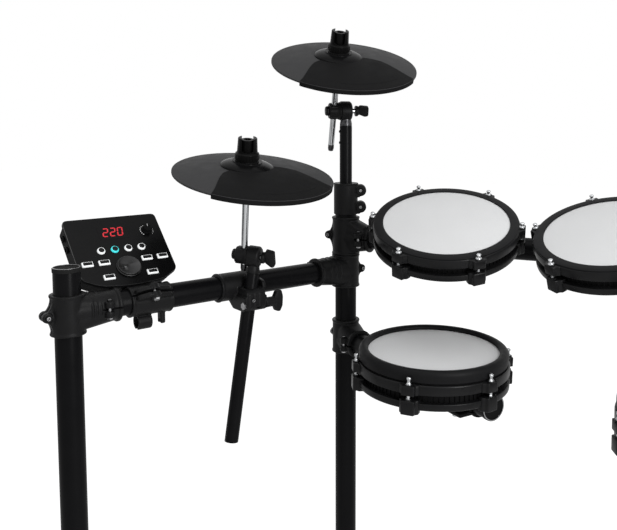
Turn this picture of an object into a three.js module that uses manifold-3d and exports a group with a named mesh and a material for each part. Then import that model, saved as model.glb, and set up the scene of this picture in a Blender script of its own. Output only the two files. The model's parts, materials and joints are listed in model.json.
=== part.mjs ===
// Electronic drum kit on a four-post tube rack.
// Millimetres, +Z up. Origin on the floor at the axis of the left inner post,
// +X to the player's right along the centre bar, +Y away from the player.
import * as THREE from 'three';
import { mergeVertices } from 'three/addons/utils/BufferGeometryUtils.js';
import Module from 'manifold-3d';

const wasm = await Module();
wasm.setup();

// Clearances and the number of sides of round pieces
const gap = 0.3;
const runningGap = 0.4;
const overrun = 2;
const tubeSides = 16;
const padSides = 20;
const discSides = 28;
const smallSides = 8;
const rodSides = 12;
const degree = Math.PI / 180;

// Tubes and rods
const tubeRadius = 19.05;
const tubeWall = 1.6;
const thinRadius = 11.1;
const thinWall = 1.5;
const rodRadius = 4.8;

// Plan of the rack
const barLength = 720;
const armLength = 500;
const armAngle = 60.6;

// Heights of tube axes and tube ends above the floor
const barHeight = 818;
const armDrop = 58;
const armHeight = barHeight - armDrop;
const sideArmDrop = 130.5;
const sideArmHeight = armHeight - sideArmDrop;
const innerPostRise = 72;
const innerPostTop = barHeight + innerPostRise;
const outerPostRise = 59.5;
const outerPostTop = armHeight + outerPostRise;

// Collars: a sleeve round a post with a branch for the tube that leaves it
const collarRadius = 24;
const collarRimHeight = 4.5;
const branchRadius = 24;
const branchReach = 51;
const barCollarHeight = 68.4;
const armCollarHeight = 59.4;
const sideCollarHeight = 60;
const barBranchDrop = 3.2;
const armBranchRise = 2.8;
const sideBranchDrop = 6.5;
const hornWidthShare = 0.86;
const earReach = 35;
const earHalfWidth = 11;
const earTipHeight = 14;
const earSlot = 2.4;
const boltRadius = 4.2;
const boltHeadHeight = 3.4;

// Clamp that holds a cymbal tube on top of an inner post
const towerOverlap = 30;
const towerHeight = 56.5;
const towerBottom = innerPostTop - towerOverlap;
const towerTop = towerBottom + towerHeight;
const towerRadius = 21.6;
const towerEarReach = 35;
const towerEarHeight = 19;
const towerEarSpacing = 30;
const towerEarAzimuth = 8;

// Feet and caps
const footRadius = 24.5;
const footHeight = 34;
const footFloor = 7;
const footTopRadius = 22.2;
const capRadius = 19.9;
const capHeight = 6;
const capPlugLength = 16;
const ventRadius = 2.5;
const ventHeight = 60;

// Drum pads, measured from the face of the head downwards
const headRadius = 96.5;
const headEdge = 3.5;
const headThickness = 1.5;
const rimRise = 6.6;
const rimRadius = 110;
const rimDepth = 10;
const rimSoftShare = 0.38;
const grooveDepth = 12.4;
const grooveRadius = 107;
const hoopRadius = 112;
const hoopBottom = 26.4;
const lowerHoopTop = 38;
const lowerHoopBottom = 48;
const shellRadius = 104.1;
const shellWall = 4.6;
const shellFloor = 44;
const floorThickness = 4;
const lugCount = 6;
const lugReach = 120;
const lugHalfWidth = 15;
const lugTipHalfWidth = 10.5;
const lowerLugTop = 33.6;
const lowerLugBottom = 53.4;
const tensionRadius = 2.6;
const tensionCapRadius = 3.9;
const tensionCapRise = 1.6;
const tensionReach = 114.2;

// Places of the pads
const tomSpacing = 244.8;
const tomAcross = (barLength - tomSpacing) / 2;
const tomForward = 161.7;
const tomRise = 63.2;
const tomHeight = barHeight + tomRise;
const tomTilt = 20.9;
const tomRimRise = 1.6;
const tomRimDepth = 0.4;
const tomHoopLift = 11.6;
const tomTurn = 16.6;
const tomLugTurn = -6.4;
const sideArmLength = 411;
const snareArmTurn = 35.6;
const floorArmTurn = 100;
const sidePadAlong = 328.6;
const sidePadAcross = 45.8;
const sidePadRise = 70.3;
const sidePadTilt = 2;
const sideLugTurn = 6.2;
const sideClampStart = 336;
const sideClampLength = 48;
const sideClampRadius = 22.6;

// Tom mounts under the pads
const tomClampLength = 42;
const tomClampRadius = 23;
const tomBeamHalfWidth = 9;
const tomBeamHalfHeight = 10;
const tomEyeRadius = 13;
const forkEarThickness = 7;
const forkHalfDepth = 13;
const pivotPinRadius = 4;

// Cymbals: the hub carries the disc a little off its middle
const discRadius = 126.5;
const discThickness = 3.4;
const discRise = 15;
const discTopRadius = 36;
const discShift = 12;
const bellRadius = 41;
const bellTopRadius = 19;
const bellRingRadius = 23.8;
const bellRingWidth = 3.2;
const bellRingRise = 1.8;
const rubberDepth = 8;
const rubberLift = 0.8;
const rubberInner = 44;
const rubberTurn = -67;
const rubberSpread = 51;
const seatRadius = 22;
const hubBore = 9.5;
const feltRadius = 12;
const feltHeight = 10;
const feltSlack = 2;

// Cymbal topper on the rod
const topperBaseRadius = 18.6;
const topperBaseHeight = 10;
const topperWaist = 15.6;
const topperTop = 14.2;
const topperHeight = 35;
const topperNotch = 13;
const topperNotchDepth = 22;
const crashTopperTurn = -13;
const hihatTopperTurn = 19;

// Cymbal rod and the tilting joint on its tube
const rodBelowDisc = 165.4;
const crashRodAside = 22;
const hihatRodAside = 18;
const drumRadius = 17.5;
const drumHalfLength = 9.8;
const holderRadius = 13;
const holderEnd = 35;
const holderNut = 7.5;
const holderNutLength = 6;
const neckDrop = 27;
const wingShaftRadius = 4.5;
const wingStart = 19;
const wingLength = 20;
const wingHalfHeight = 11;
const wingHalfThickness = 4;

// Crash and ride
const crashHingeRise = 156;
const crashHinge = innerPostTop + crashHingeRise;
const crashTilt = 21.6;
const crashTurn = 53.7;
const crashDiscRise = 88.2;
const crashTubeInside = 184;
const crashTubeBottom = innerPostTop - crashTubeInside;
const crashDiscAzimuth = 20.7;

// Hi-hat on the left arm
const hihatAlongShare = 0.438;
const hihatAlong = armLength * hihatAlongShare;
const hihatAside = 34.2;
const hihatLean = 9;
const hihatHingeRise = 52;
const hihatTubeBelow = 250;
const hihatDiscRise = 138.4;
const hihatRodTurn = 49.8;
const hihatRodTilt = 13.2;
const hihatDiscTurn = 35.1;
const hihatDiscTilt = 12.8;
const hihatDiscAzimuth = 28.4;
const hihatClampBefore = 16;
const hihatClampStart = hihatAlong - hihatClampBefore;
const hihatClampLength = 60;
const hihatClampRadius = 23.4;
const hihatJawBefore = 20;
const hihatJawStart = hihatAlong - hihatJawBefore;
const hihatJawLength = 40;
const hihatJawFront = 52;
const hihatJawDrop = 35;
const hihatJawTop = 2;
const hihatBoltForward = 47;
const hihatBoltDrop = 24;

// Sound module on the left arm
const bracketFromEnd = 154;
const bracketStart = armLength - bracketFromEnd;
const moduleBeyondBracket = 52.7;
const moduleAlong = bracketStart + moduleBeyondBracket;
const moduleAside = -23.8;
const moduleRise = 48.7;
const moduleTilt = 43.4;
const moduleHalfWidth = 75;
const moduleTop = 100.6;
const moduleShoulder = -13;
const moduleBottom = -32.5;
const moduleCorner = 8;
const moduleLip = 6;
const moduleDepth = 31;
const moduleSideDraw = 1.6;
const moduleBottomDraw = 10;
const bracketLength = 66;
const bracketRadius = 23.6;
const bracketNeckHalfWidth = 24;
const bracketNeckBack = 46;
const bracketNeckDrop = 6;
const jawEarReach = 38;
const jawEarHeight = 7;
const jawEarSlot = 3;
const hookRadius = 9;
const hookWall = 3;
const hookLength = 30;
const hookMouth = 8;

// Controls on the module's face
const pocketDepth = 2.6;
const buttonSink = 1.3;
const buttonRise = 3;
const roundRadius = 6.2;
const roundRow = 35.7;
const roundPitch = 21.4;
const keyHalfWidth = 8.6;
const keyHalfHeight = 4.4;
const upperKeyRow = 13.3;
const lowerKeyRow = -14;
const outerKeyColumn = 59.3;
const innerKeyColumn = 33.8;
const lowerKeyColumn = 34;
const dialRadius = 19;
const dialRise = 5.6;
const volumeRadius = 7.6;
const volumeTaper = 6.6;
const volumeRise = 9;
const volumeColumn = 51;
const volumeRow = 66.8;

// Finishes
const finishes = {
  powderCoat: { color: 0x131315, roughness: 0.42, metalness: 0.3 },
  casting: { color: 0x191a1c, roughness: 0.6, metalness: 0.05 },
  hoop: { color: 0x1b1b1d, roughness: 0.45, metalness: 0 },
  mesh: { color: 0xc4c5c7, roughness: 0.55, metalness: 0.1 },
  cymbal: { color: 0x2b2b2d, roughness: 0.6, metalness: 0 },
  chrome: { color: 0xc9cbce, roughness: 0.18, metalness: 1 },
  gloss: { color: 0x101012, roughness: 0.35, metalness: 0 },
  lit: { color: 0xe8ecef, roughness: 0.4, metalness: 0 },
};

// Solids

function toManifold(geometry) {
  const bare = geometry.index ? geometry.toNonIndexed() : geometry.clone();
  for (const name of Object.keys(bare.attributes)) {
    if (name !== 'position') bare.deleteAttribute(name);
  }
  const merged = mergeVertices(bare);
  return new wasm.Manifold(new wasm.Mesh({
    numProp: 3,
    vertProperties: new Float32Array(merged.attributes.position.array),
    triVerts: new Uint32Array(merged.index.array),
  }));
}

function toGeometry(solid) {
  const mesh = solid.getMesh();
  const geometry = new THREE.BufferGeometry();
  const positions = new Float32Array(mesh.numVert * 3);
  for (let i = 0; i < mesh.numVert; i += 1) {
    for (let k = 0; k < 3; k += 1) {
      positions[3 * i + k] = mesh.vertProperties[mesh.numProp * i + k];
    }
  }
  geometry.setAttribute('position', new THREE.BufferAttribute(positions, 3));
  geometry.setIndex(new THREE.BufferAttribute(new Uint32Array(mesh.triVerts), 1));
  const flat = geometry.toNonIndexed();
  flat.computeVertexNormals();
  return flat;
}

function join(...geometries) {
  return toGeometry(geometries.map(toManifold).reduce((sum, piece) => sum.add(piece)));
}

function cut(geometry, ...tools) {
  return toGeometry(tools.map(toManifold).reduce((rest, tool) => rest.subtract(tool), toManifold(geometry)));
}

// A polygon's sides come nearer the axis than its corners, so a bore that must
// clear a round piece at every turn is drawn this much wider.
function boreFor(radius, sides) {
  return (radius + runningGap) / Math.cos(Math.PI / sides);
}

function cylinder(radius, bottom, top, sides) {
  const geometry = new THREE.CylinderGeometry(radius, radius, top - bottom, sides, 1);
  geometry.rotateX(Math.PI / 2);
  return geometry.translate(0, 0, (top + bottom) / 2);
}

function taper(lowRadius, highRadius, bottom, top, sides) {
  const geometry = new THREE.CylinderGeometry(highRadius, lowRadius, top - bottom, sides, 1);
  geometry.rotateX(Math.PI / 2);
  return geometry.translate(0, 0, (top + bottom) / 2);
}

function alongX(geometry) {
  return geometry.rotateY(Math.PI / 2);
}

function alongY(geometry) {
  return geometry.rotateX(-Math.PI / 2);
}

function block(x0, x1, y0, y1, z0, z1) {
  const geometry = new THREE.BoxGeometry(x1 - x0, y1 - y0, z1 - z0);
  return geometry.translate((x0 + x1) / 2, (y0 + y1) / 2, (z0 + z1) / 2);
}

// A profile of [radius, height] points turned about Z; it closes on itself or ends on the axis.
function turned(profile, sides) {
  const points = profile.map(([r, z]) => new THREE.Vector2(r, z));
  if (THREE.ShapeUtils.area(points) < 0) points.reverse();
  const geometry = new THREE.LatheGeometry(points, sides);
  return geometry.rotateX(Math.PI / 2);
}

function pipe(outer, inner, bottom, top, sides) {
  return turned([[outer, bottom], [outer, top], [inner, top], [inner, bottom], [outer, bottom]], sides);
}

// An outline of [x, y] points pushed from one height to another
function slab(outline, bottom, top) {
  const shape = new THREE.Shape(outline.map(([x, y]) => new THREE.Vector2(x, y)));
  const geometry = new THREE.ExtrudeGeometry(shape, { depth: top - bottom, bevelEnabled: false });
  return geometry.translate(0, 0, bottom);
}

// A closed skin through rings of points, all with the same count, capped at both ends
function loft(rings) {
  const count = rings[0].length;
  const positions = rings.flat().flatMap((point) => point);
  const index = [];
  for (let ring = 0; ring + 1 < rings.length; ring += 1) {
    for (let i = 0; i < count; i += 1) {
      const a = ring * count + i;
      const b = ring * count + (i + 1) % count;
      index.push(a, b, b + count, a, b + count, a + count);
    }
  }
  const last = (rings.length - 1) * count;
  for (let i = 1; i + 1 < count; i += 1) {
    index.push(0, i + 1, i);
    index.push(last, last + i, last + i + 1);
  }
  const geometry = new THREE.BufferGeometry();
  geometry.setAttribute('position', new THREE.BufferAttribute(new Float32Array(positions), 3));
  geometry.setIndex(index);
  return geometry;
}

function meshOf(name, geometry, finish) {
  const mesh = new THREE.Mesh(geometry, new THREE.MeshStandardMaterial(finishes[finish]));
  mesh.name = name;
  return mesh;
}

function frameAt(x, y, z, turn = 0) {
  const group = new THREE.Group();
  group.position.set(x, y, z);
  group.rotation.z = turn;
  return group;
}

// Rack tubes

function rackTube(length) {
  return alongX(pipe(tubeRadius, tubeRadius - tubeWall, 0, length, tubeSides));
}

function post(bottom, top) {
  return pipe(tubeRadius, tubeRadius - tubeWall, bottom, top, tubeSides);
}

// Where a branched tube starts, just clear of the post that it leaves
const branchStart = tubeRadius / Math.cos(Math.PI / tubeSides) + 2 * gap + runningGap;

// A collar in its own frame: post along Z, branch along +X at branchHeight,
// clamping ears opposite the branch with their bolt across them.
function collar(height, branchHeight) {
  const half = height / 2;
  const sleeve = cylinder(collarRadius, -half, half, tubeSides);
  const branch = alongX(cylinder(branchRadius, 0, branchReach, tubeSides)).translate(0, 0, branchHeight);
  const horn = hornSkin(half - collarRimHeight, branchHeight);
  const tip = earTipHeight / 2;
  const ears = alongY(slab([
    [0, collarRimHeight - half], [0, half - collarRimHeight], [-collarRadius, half - collarRimHeight], [-earReach, tip],
    [-earReach, -tip], [-collarRadius, collarRimHeight - half],
  ].map(([x, z]) => [x, -z]), -earHalfWidth, earHalfWidth));
  const boltPlace = -(earReach + collarRadius) / 2;
  const bolt = alongY(cylinder(boltRadius, -earHalfWidth - boltHeadHeight, earHalfWidth + boltHeadHeight,
    smallSides)).translate(boltPlace, 0, 0);
  const slot = block(-earReach - overrun, -tubeRadius / 2, -earSlot / 2, earSlot / 2,
    -half - overrun, half + overrun);
  const body = cut(join(sleeve, branch, horn, ears), slot);
  const bore = cylinder(boreFor(tubeRadius, tubeSides), -half - overrun, half + overrun, tubeSides);
  const branchBore = alongX(cylinder(boreFor(tubeRadius, tubeSides), 0, branchReach + overrun, tubeSides))
    .translate(0, 0, branchHeight);
  return cut(join(body, bolt), bore, branchBore);
}

// The webs that widen a branch towards its post
function hornSkin(half, branchHeight) {
  const steps = tubeSides;
  const ringAt = (x, high, middle, wide, square) => Array.from({ length: steps }, (_, i) => {
    const angle = (2 * Math.PI * i) / steps;
    const bulge = (value) => Math.sign(value) * Math.abs(value) ** square;
    return [x, wide * bulge(Math.cos(angle)), middle + high * bulge(Math.sin(angle))];
  });
  const squareShare = 0.5;
  const rootWidth = collarRadius * hornWidthShare;
  return loft([
    ringAt(0, half, 0, rootWidth, squareShare),
    ringAt(collarRadius * hornWidthShare, half, 0, rootWidth, squareShare),
    ringAt(branchReach, branchRadius, branchHeight, branchRadius, 1),
  ]);
}

// A post with its rubber foot, standing on the floor
function footedPost(top) {
  const socket = tubeRadius - tubeWall / 2;
  const foot = turned([
    [0, 0], [footRadius, 0], [footRadius, footFloor], [footTopRadius, footHeight],
    [socket, footHeight], [socket, footFloor], [0, footFloor],
  ], tubeSides);
  return join(post(footFloor - tubeWall, top), foot);
}

// An outer post also has a cap, and a vent low in its wall
function cappedPost(top) {
  const vent = alongX(cylinder(ventRadius, 0, tubeRadius + overrun, smallSides)).translate(0, 0, ventHeight);
  return cut(join(footedPost(top), tubeCap().translate(0, 0, top)), vent);
}

// The cap of a tube that ends at zero, with its plug grown into the tube's wall
function tubeCap() {
  const plugRadius = tubeRadius - tubeWall / 2;
  return turned([
    [0, -capPlugLength], [plugRadius, -capPlugLength], [plugRadius, -tubeWall], [tubeRadius, -tubeWall],
    [capRadius, 0], [capRadius, capHeight - gap], [capRadius - 3 * gap, capHeight], [0, capHeight],
  ], tubeSides);
}

// Clamp on top of an inner post, bored for the post below and the cymbal tube above
function towerClamp() {
  const body = cylinder(towerRadius, towerBottom, towerTop, tubeSides);
  const middle = (towerBottom + towerTop) / 2;
  const pieces = [body];
  for (const side of [-1, 1]) {
    const height = middle + side * towerEarSpacing / 2;
    pieces.push(alongY(cylinder(towerEarHeight / 2, -earHalfWidth, earHalfWidth, smallSides))
      .translate(towerEarReach - towerEarHeight / 2, 0, height));
    pieces.push(block(0, towerEarReach - towerEarHeight / 2, -earHalfWidth, earHalfWidth,
      height - towerEarHeight / 2, height + towerEarHeight / 2));
  }
  const slot = block(thinRadius, towerEarReach + overrun, -earSlot / 2, earSlot / 2,
    towerBottom - overrun, towerTop + overrun);
  const cutBody = cut(join(...pieces), slot);
  const bolts = [-1, 1].map((side) => alongY(cylinder(boltRadius, -earHalfWidth - boltHeadHeight,
    earHalfWidth + boltHeadHeight, smallSides))
    .translate(towerEarReach - towerEarHeight / 2, 0, middle + side * towerEarSpacing / 2));
  return cut(join(cutBody, ...bolts),
    cylinder(boreFor(tubeRadius, tubeSides), towerBottom - overrun, innerPostTop + gap, tubeSides),
    cylinder(boreFor(thinRadius, tubeSides), towerBottom - overrun, towerTop + overrun, tubeSides));
}

// Drum pads

function padHead() {
  return cylinder(headRadius + headEdge, -headThickness, 0, padSides);
}

function lugSlab(bottom, top) {
  return slab([
    [grooveRadius, -lugHalfWidth], [hoopRadius, -lugHalfWidth], [lugReach, -lugTipHalfWidth],
    [lugReach, lugTipHalfWidth], [hoopRadius, lugHalfWidth], [grooveRadius, lugHalfWidth],
  ], bottom, top);
}

function padHoop(lugTurn, { rise, depth, lift }) {
  const seat = headThickness + gap / 2;
  const headClear = headRadius + headEdge + gap;
  const shellClear = shellRadius + gap;
  const ring = turned([
    [headRadius, gap], [headRadius, rise * (1 - rimSoftShare)], [headRadius + headEdge, rise],
    [grooveRadius, rise], [rimRadius, rise * (1 - rimSoftShare)], [rimRadius, -depth],
    [grooveRadius, lift - grooveDepth], [hoopRadius, lift - grooveDepth], [hoopRadius, lift - hoopBottom],
    [shellClear, lift - hoopBottom], [shellClear, -seat], [headClear, -seat], [headClear, gap],
    [headRadius, gap],
  ], padSides);
  const pieces = [ring];
  for (let i = 0; i < lugCount; i += 1) {
    const turn = lugTurn + (2 * Math.PI * i) / lugCount;
    pieces.push(lugSlab(lift - hoopBottom, lift - grooveDepth).rotateZ(turn));
    pieces.push(cylinder(tensionRadius, lift + gap - lowerLugTop, lift - grooveDepth, smallSides / 2)
      .translate(tensionReach, 0, 0).rotateZ(turn));
    pieces.push(cylinder(tensionCapRadius, lift - grooveDepth, lift + tensionCapRise, smallSides / 2)
      .translate(tensionReach, 0, 0).rotateZ(turn));
  }
  return join(...pieces);
}

function padShell(lugTurn, bracket, { lift }) {
  const inner = shellRadius - shellWall;
  const bearing = headThickness + gap;
  const ring = turned([
    [0, lift - shellFloor], [inner, lift - shellFloor], [inner, -bearing],
    [shellRadius, -bearing], [shellRadius, lift - lowerHoopTop], [hoopRadius, lift - lowerHoopTop],
    [hoopRadius, lift - lowerHoopBottom], [inner, lift - lowerHoopBottom],
    [inner - floorThickness, lift + floorThickness / 4 - lowerHoopBottom],
    [0, lift + floorThickness / 4 - lowerHoopBottom],
  ], padSides);
  const pieces = [ring];
  for (let i = 0; i < lugCount; i += 1) {
    pieces.push(lugSlab(lift - lowerLugBottom, lift - lowerLugTop)
      .rotateZ(lugTurn + (2 * Math.PI * i) / lugCount));
  }
  const body = join(...pieces, ...bracket.add);
  return cut(body, ...bracket.remove);
}

function drumPad(name, frame, lugTurn, bracket, levels) {
  frame.add(meshOf(`${name}_head`, padHead(), 'mesh'));
  frame.add(meshOf(`${name}_hoop`, padHoop(lugTurn, levels), 'hoop'));
  frame.add(meshOf(`${name}_shell`, padShell(lugTurn, bracket, levels), 'hoop'));
}

// The tom's fork reaches down to a pin at pinDrop below the head, along X
function forkBracket(pinDrop) {
  const inside = tomBeamHalfWidth + runningGap;
  const outside = inside + forkEarThickness;
  const floorLevel = tomHoopLift + floorThickness / 4 - lowerHoopBottom;
  const add = [];
  for (const side of [-1, 1]) {
    const [x0, x1] = side > 0 ? [inside, outside] : [-outside, -inside];
    add.push(block(x0, x1, -forkHalfDepth, forkHalfDepth, -pinDrop, floorLevel + gap));
    add.push(alongX(cylinder(forkHalfDepth, x0, x1, smallSides)).translate(0, 0, -pinDrop));
  }
  add.push(alongX(cylinder(pivotPinRadius, -outside - boltHeadHeight, outside + boltHeadHeight, smallSides))
    .translate(0, 0, -pinDrop));
  return { add, remove: [] };
}

// The side pads' sleeve turns on the arm, which runs along X in the arm's frame.
// Both are drawn in the arm's frame and moved into the pad's.
function sleeveBracket(armToPad) {
  const end = sideClampStart + sideClampLength;
  const sleeve = alongX(cylinder(sideClampRadius, sideClampStart, end, tubeSides));
  const saddle = block(sideClampStart, end, -sideClampRadius, 0, 0,
    sidePadRise - shellFloor - floorThickness / 2);
  const ear = slab([
    [0, 0], [-sideClampRadius, 0], [-earReach, -earTipHeight], [-earReach, -2 * earTipHeight],
    [0, -sideClampRadius],
  ], sideClampStart + earHalfWidth, end - earHalfWidth);
  const earAlong = ear.applyMatrix4(new THREE.Matrix4().makeBasis(
    new THREE.Vector3(0, 1, 0), new THREE.Vector3(0, 0, 1), new THREE.Vector3(1, 0, 0)));
  const bore = alongX(cylinder(boreFor(tubeRadius, tubeSides), sideClampStart - overrun, end + overrun,
    tubeSides));
  const place = (piece) => piece.applyMatrix4(armToPad);
  return { add: [sleeve, saddle, earAlong].map(place), remove: [place(bore)] };
}

// Cymbal stands

function tiltTube(bottom) {
  const top = -neckDrop;
  const neckWall = thinRadius - thinWall - gap;
  const shaft = pipe(thinRadius, thinRadius - thinWall, bottom, top, tubeSides);
  const neck = join(taper(thinRadius - gap, drumHalfLength - gap, top, -drumRadius, tubeSides),
    cylinder(drumHalfLength - gap, -drumRadius - overrun, -drumRadius / 2, tubeSides));
  const plug = cylinder(neckWall, top - neckDrop / 2, top + overrun, tubeSides);
  const drum = alongX(cylinder(drumRadius, -drumHalfLength, drumHalfLength, tubeSides));
  const bore = alongX(cylinder(boreFor(wingShaftRadius, smallSides), -drumHalfLength - overrun,
    drumHalfLength + overrun, smallSides));
  return cut(join(shaft, neck, plug, drum), bore);
}

// The turning half: a holder bored for the rod, its bolt through the drum, a nut and a wing
function tiltHead(rodAside) {
  const inside = drumHalfLength + gap;
  const holder = alongX(taper(drumRadius - overrun, holderRadius, inside, holderEnd, tubeSides));
  const bolt = alongX(cylinder(wingShaftRadius, -wingStart - overrun, inside + overrun, smallSides));
  const nut = alongX(cylinder(holderNut, holderEnd - overrun, holderEnd + holderNutLength, smallSides / 2));
  const wing = block(-wingStart - wingLength, -wingStart, -wingHalfThickness, wingHalfThickness,
    -wingHalfHeight, wingHalfHeight);
  const bossEnd = -drumHalfLength - gap - runningGap;
  const boss = alongX(cylinder(wingShaftRadius + wingHalfThickness, -wingStart - wingHalfThickness, bossEnd,
    smallSides));
  const bore = cylinder(boreFor(rodRadius, smallSides), -drumRadius - overrun, drumRadius + overrun,
    smallSides).translate(rodAside, 0, 0);
  return cut(join(holder, bolt, nut, wing, boss), bore);
}

// The pieces on the rod, drawn with the disc's rim plane at zero and +Z up the rod.
// The hub's ball seat is centred where the disc sways.
const seatCentre = discRise - discThickness;

// Points of the ball seat's surface from one radius to another, as a profile
function ballProfile(radius, fromRadius, toRadius, steps) {
  return Array.from({ length: steps + 1 }, (_, i) => {
    const r = fromRadius + ((toRadius - fromRadius) * i) / steps;
    return [r, seatCentre + Math.sqrt(radius * radius - r * r)];
  });
}

// The rod with the felt seat under the disc and the topper over its hub
function rod(topperTurn) {
  const under = ballProfile(seatRadius + 2 * runningGap, rodRadius, topperBaseRadius, 3);
  const base = under[under.length - 1][1];
  const feltTop = seatCentre - discThickness - feltSlack;
  const body = turned([
    [0, -rodBelowDisc], [rodRadius, -rodBelowDisc], [rodRadius, feltTop - feltHeight],
    [feltRadius, feltTop - feltHeight], [feltRadius, feltTop], [rodRadius, feltTop], ...under,
    [topperBaseRadius, base + topperBaseHeight], [topperWaist, base + topperBaseHeight * 1.4],
    [topperTop, base + topperHeight], [0, base + topperHeight],
  ], rodSides);
  const notch = block(-topperNotch / 2, topperNotch / 2, -topperBaseRadius, topperBaseRadius,
    base + topperHeight - topperNotchDepth, base + topperHeight + overrun).rotateZ(topperTurn * degree);
  return cut(body, notch);
}

function cymbal() {
  const discInner = discRadius - discThickness;
  const underside = discRise - discThickness;
  const bellFoot = underside - discThickness;
  const disc = turned([
    [0, underside], [discTopRadius, underside], [discInner, -discThickness],
    [discRadius, -discThickness], [discRadius, 0], [discTopRadius, discRise], [0, discRise],
  ], discSides).translate(discShift, 0, 0);
  const crown = ballProfile(seatRadius, bellTopRadius, hubBore, 2);
  const share = (bellRadius - bellRingRadius) / (bellRadius - bellTopRadius);
  const ringFoot = discRise + (crown[0][1] - discRise) * share;
  const bell = turned([
    [hubBore, bellFoot], [bellRadius, bellFoot], [bellRadius, discRise], [bellRingRadius, ringFoot],
    [bellRingRadius, ringFoot + bellRingRise], [bellRingRadius - bellRingWidth, ringFoot + bellRingRise],
    ...crown, [hubBore, bellFoot],
  ], tubeSides);
  const bore = cylinder(hubBore, -rubberDepth, seatCentre + seatRadius, tubeSides);
  return cut(join(disc, bell, rubberZone()), bore);
}

// The playing zone: a sector of rubber that wraps the rim and hangs below it
function rubberZone() {
  const steps = tubeSides / 2;
  const slope = discRise / (discRadius - discTopRadius);
  const edge = discRadius + rubberLift;
  const rings = [];
  for (let i = 0; i <= steps; i += 1) {
    const angle = degree * (rubberTurn - rubberSpread + (2 * rubberSpread * i) / steps);
    const place = (r, z) => [discShift + r * Math.cos(angle), r * Math.sin(angle), z];
    const innerTop = (discRadius - rubberInner) * slope;
    rings.push([
      place(rubberInner, innerTop - discThickness / 2), place(edge - rubberDepth, -discThickness),
      place(edge - rubberDepth, -rubberDepth), place(edge, -rubberDepth), place(edge, rubberLift),
      place(rubberInner, innerTop + rubberLift),
    ].reverse());
  }
  return loft(rings);
}

// tubeFrame: origin at the hinge, +Z up the tube and +X towards the rod.
// discBasis holds the disc's own axes in the rod's frame.
function cymbalStand(name, tubeFrame, tubeBottom, tilt, discAt, discTurn, { rodAside, topperTurn }) {
  tubeFrame.add(meshOf(`${name}_tube`, tiltTube(tubeBottom), 'powderCoat'));
  const headFrame = new THREE.Group();
  headFrame.rotation.x = -tilt;
  tubeFrame.add(headFrame);
  headFrame.add(meshOf(`${name}_tilter`, tiltHead(rodAside), 'casting'));
  const rodFrame = frameAt(rodAside, 0, discAt);
  headFrame.add(rodFrame);
  rodFrame.add(meshOf(`${name}_rod`, rod(topperTurn), 'chrome'));
  const swayFrame = frameAt(0, 0, seatCentre);
  swayFrame.quaternion.copy(discTurn);
  rodFrame.add(swayFrame);
  const disc = meshOf(`${name}_cymbal`, cymbal().translate(0, 0, -seatCentre), 'cymbal');
  swayFrame.add(disc);
}

// The turn that takes a frame's +Z onto one direction and its +X near another
function turnOnto(direction, ahead) {
  const z = direction.clone().normalize();
  const x = ahead.clone().addScaledVector(z, -ahead.dot(z)).normalize();
  const y = new THREE.Vector3().crossVectors(z, x);
  return new THREE.Quaternion().setFromRotationMatrix(new THREE.Matrix4().makeBasis(x, y, z));
}

// A direction that leans by tilt from straight up, towards an azimuth
function leaning(tilt, azimuth) {
  return new THREE.Vector3(Math.sin(tilt) * Math.cos(azimuth), Math.sin(tilt) * Math.sin(azimuth), Math.cos(tilt));
}

function level(azimuth) {
  return new THREE.Vector3(Math.cos(azimuth), Math.sin(azimuth), 0);
}

// Clamps on the left arm, in the arm's frame: arm along X, +Y towards the player

function hihatTool(grow) {
  const reach = hihatTubeBelow + hihatHingeRise;
  return cylinder(grow, -reach, reach, tubeSides)
    .rotateY(-hihatLean * degree).translate(hihatAlong, hihatAside, 0);
}

function hihatClamp() {
  const end = hihatClampStart + hihatClampLength;
  const jawEnd = hihatJawStart + hihatJawLength;
  const sleeve = alongX(cylinder(hihatClampRadius, hihatClampStart, end, tubeSides));
  const jaw = block(hihatJawStart, jawEnd, 0, hihatJawFront, -hihatJawDrop, hihatJawTop);
  const web = alongX(cylinder(hihatJawDrop - overrun, hihatJawStart, jawEnd, tubeSides));
  const webTrim = block(hihatJawStart - overrun, jawEnd + overrun, -hihatJawFront, 0, -hihatJawFront,
    hihatJawFront);
  const webTop = block(hihatJawStart - overrun, jawEnd + overrun, -overrun, hihatJawFront, hihatJawTop,
    hihatJawFront);
  const bolt = alongX(cylinder(boltRadius, hihatJawStart - wingStart, jawEnd + boltHeadHeight, smallSides))
    .translate(0, hihatBoltForward, -hihatBoltDrop);
  const wing = block(hihatJawStart - wingStart - wingLength, hihatJawStart - wingStart + overrun,
    hihatBoltForward - wingHalfThickness, hihatBoltForward + wingHalfThickness,
    -hihatBoltDrop - 1.5 * wingHalfHeight, -hihatBoltDrop + 1.5 * wingHalfHeight);
  const boss = alongX(cylinder(2 * boltRadius, hihatJawStart - wingStart, hihatJawStart, smallSides))
    .translate(0, hihatBoltForward, -hihatBoltDrop);
  const quarter = cut(web, webTrim, webTop);
  const armBore = alongX(cylinder(boreFor(tubeRadius, tubeSides), hihatJawStart - overrun, end + overrun,
    tubeSides));
  return cut(join(sleeve, jaw, quarter, bolt, boss, wing), armBore, hihatTool(boreFor(thinRadius, tubeSides)));
}

// Sound module: face in its XY plane, +Y up the face, +Z out of it

function moduleOutline(sideDraw, bottomDraw) {
  const half = moduleHalfWidth - sideDraw;
  const top = moduleTop - sideDraw / 2;
  const shoulder = moduleShoulder + bottomDraw;
  const bottom = moduleBottom + bottomDraw;
  const corner = moduleCorner;
  const right = [
    [half - corner, top], [half - corner * 0.3, top - corner * 0.3], [half, top - corner],
    [half, shoulder], [half * 0.9, (shoulder * 2 + bottom) / 3], [half * 0.68, (shoulder + 3 * bottom) / 4],
    [half * 0.36, (shoulder + 11 * bottom) / 12],
  ];
  const left = right.map(([x, y]) => [-x, y]).reverse();
  return [...right, [0, bottom], ...left].reverse();
}

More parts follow.
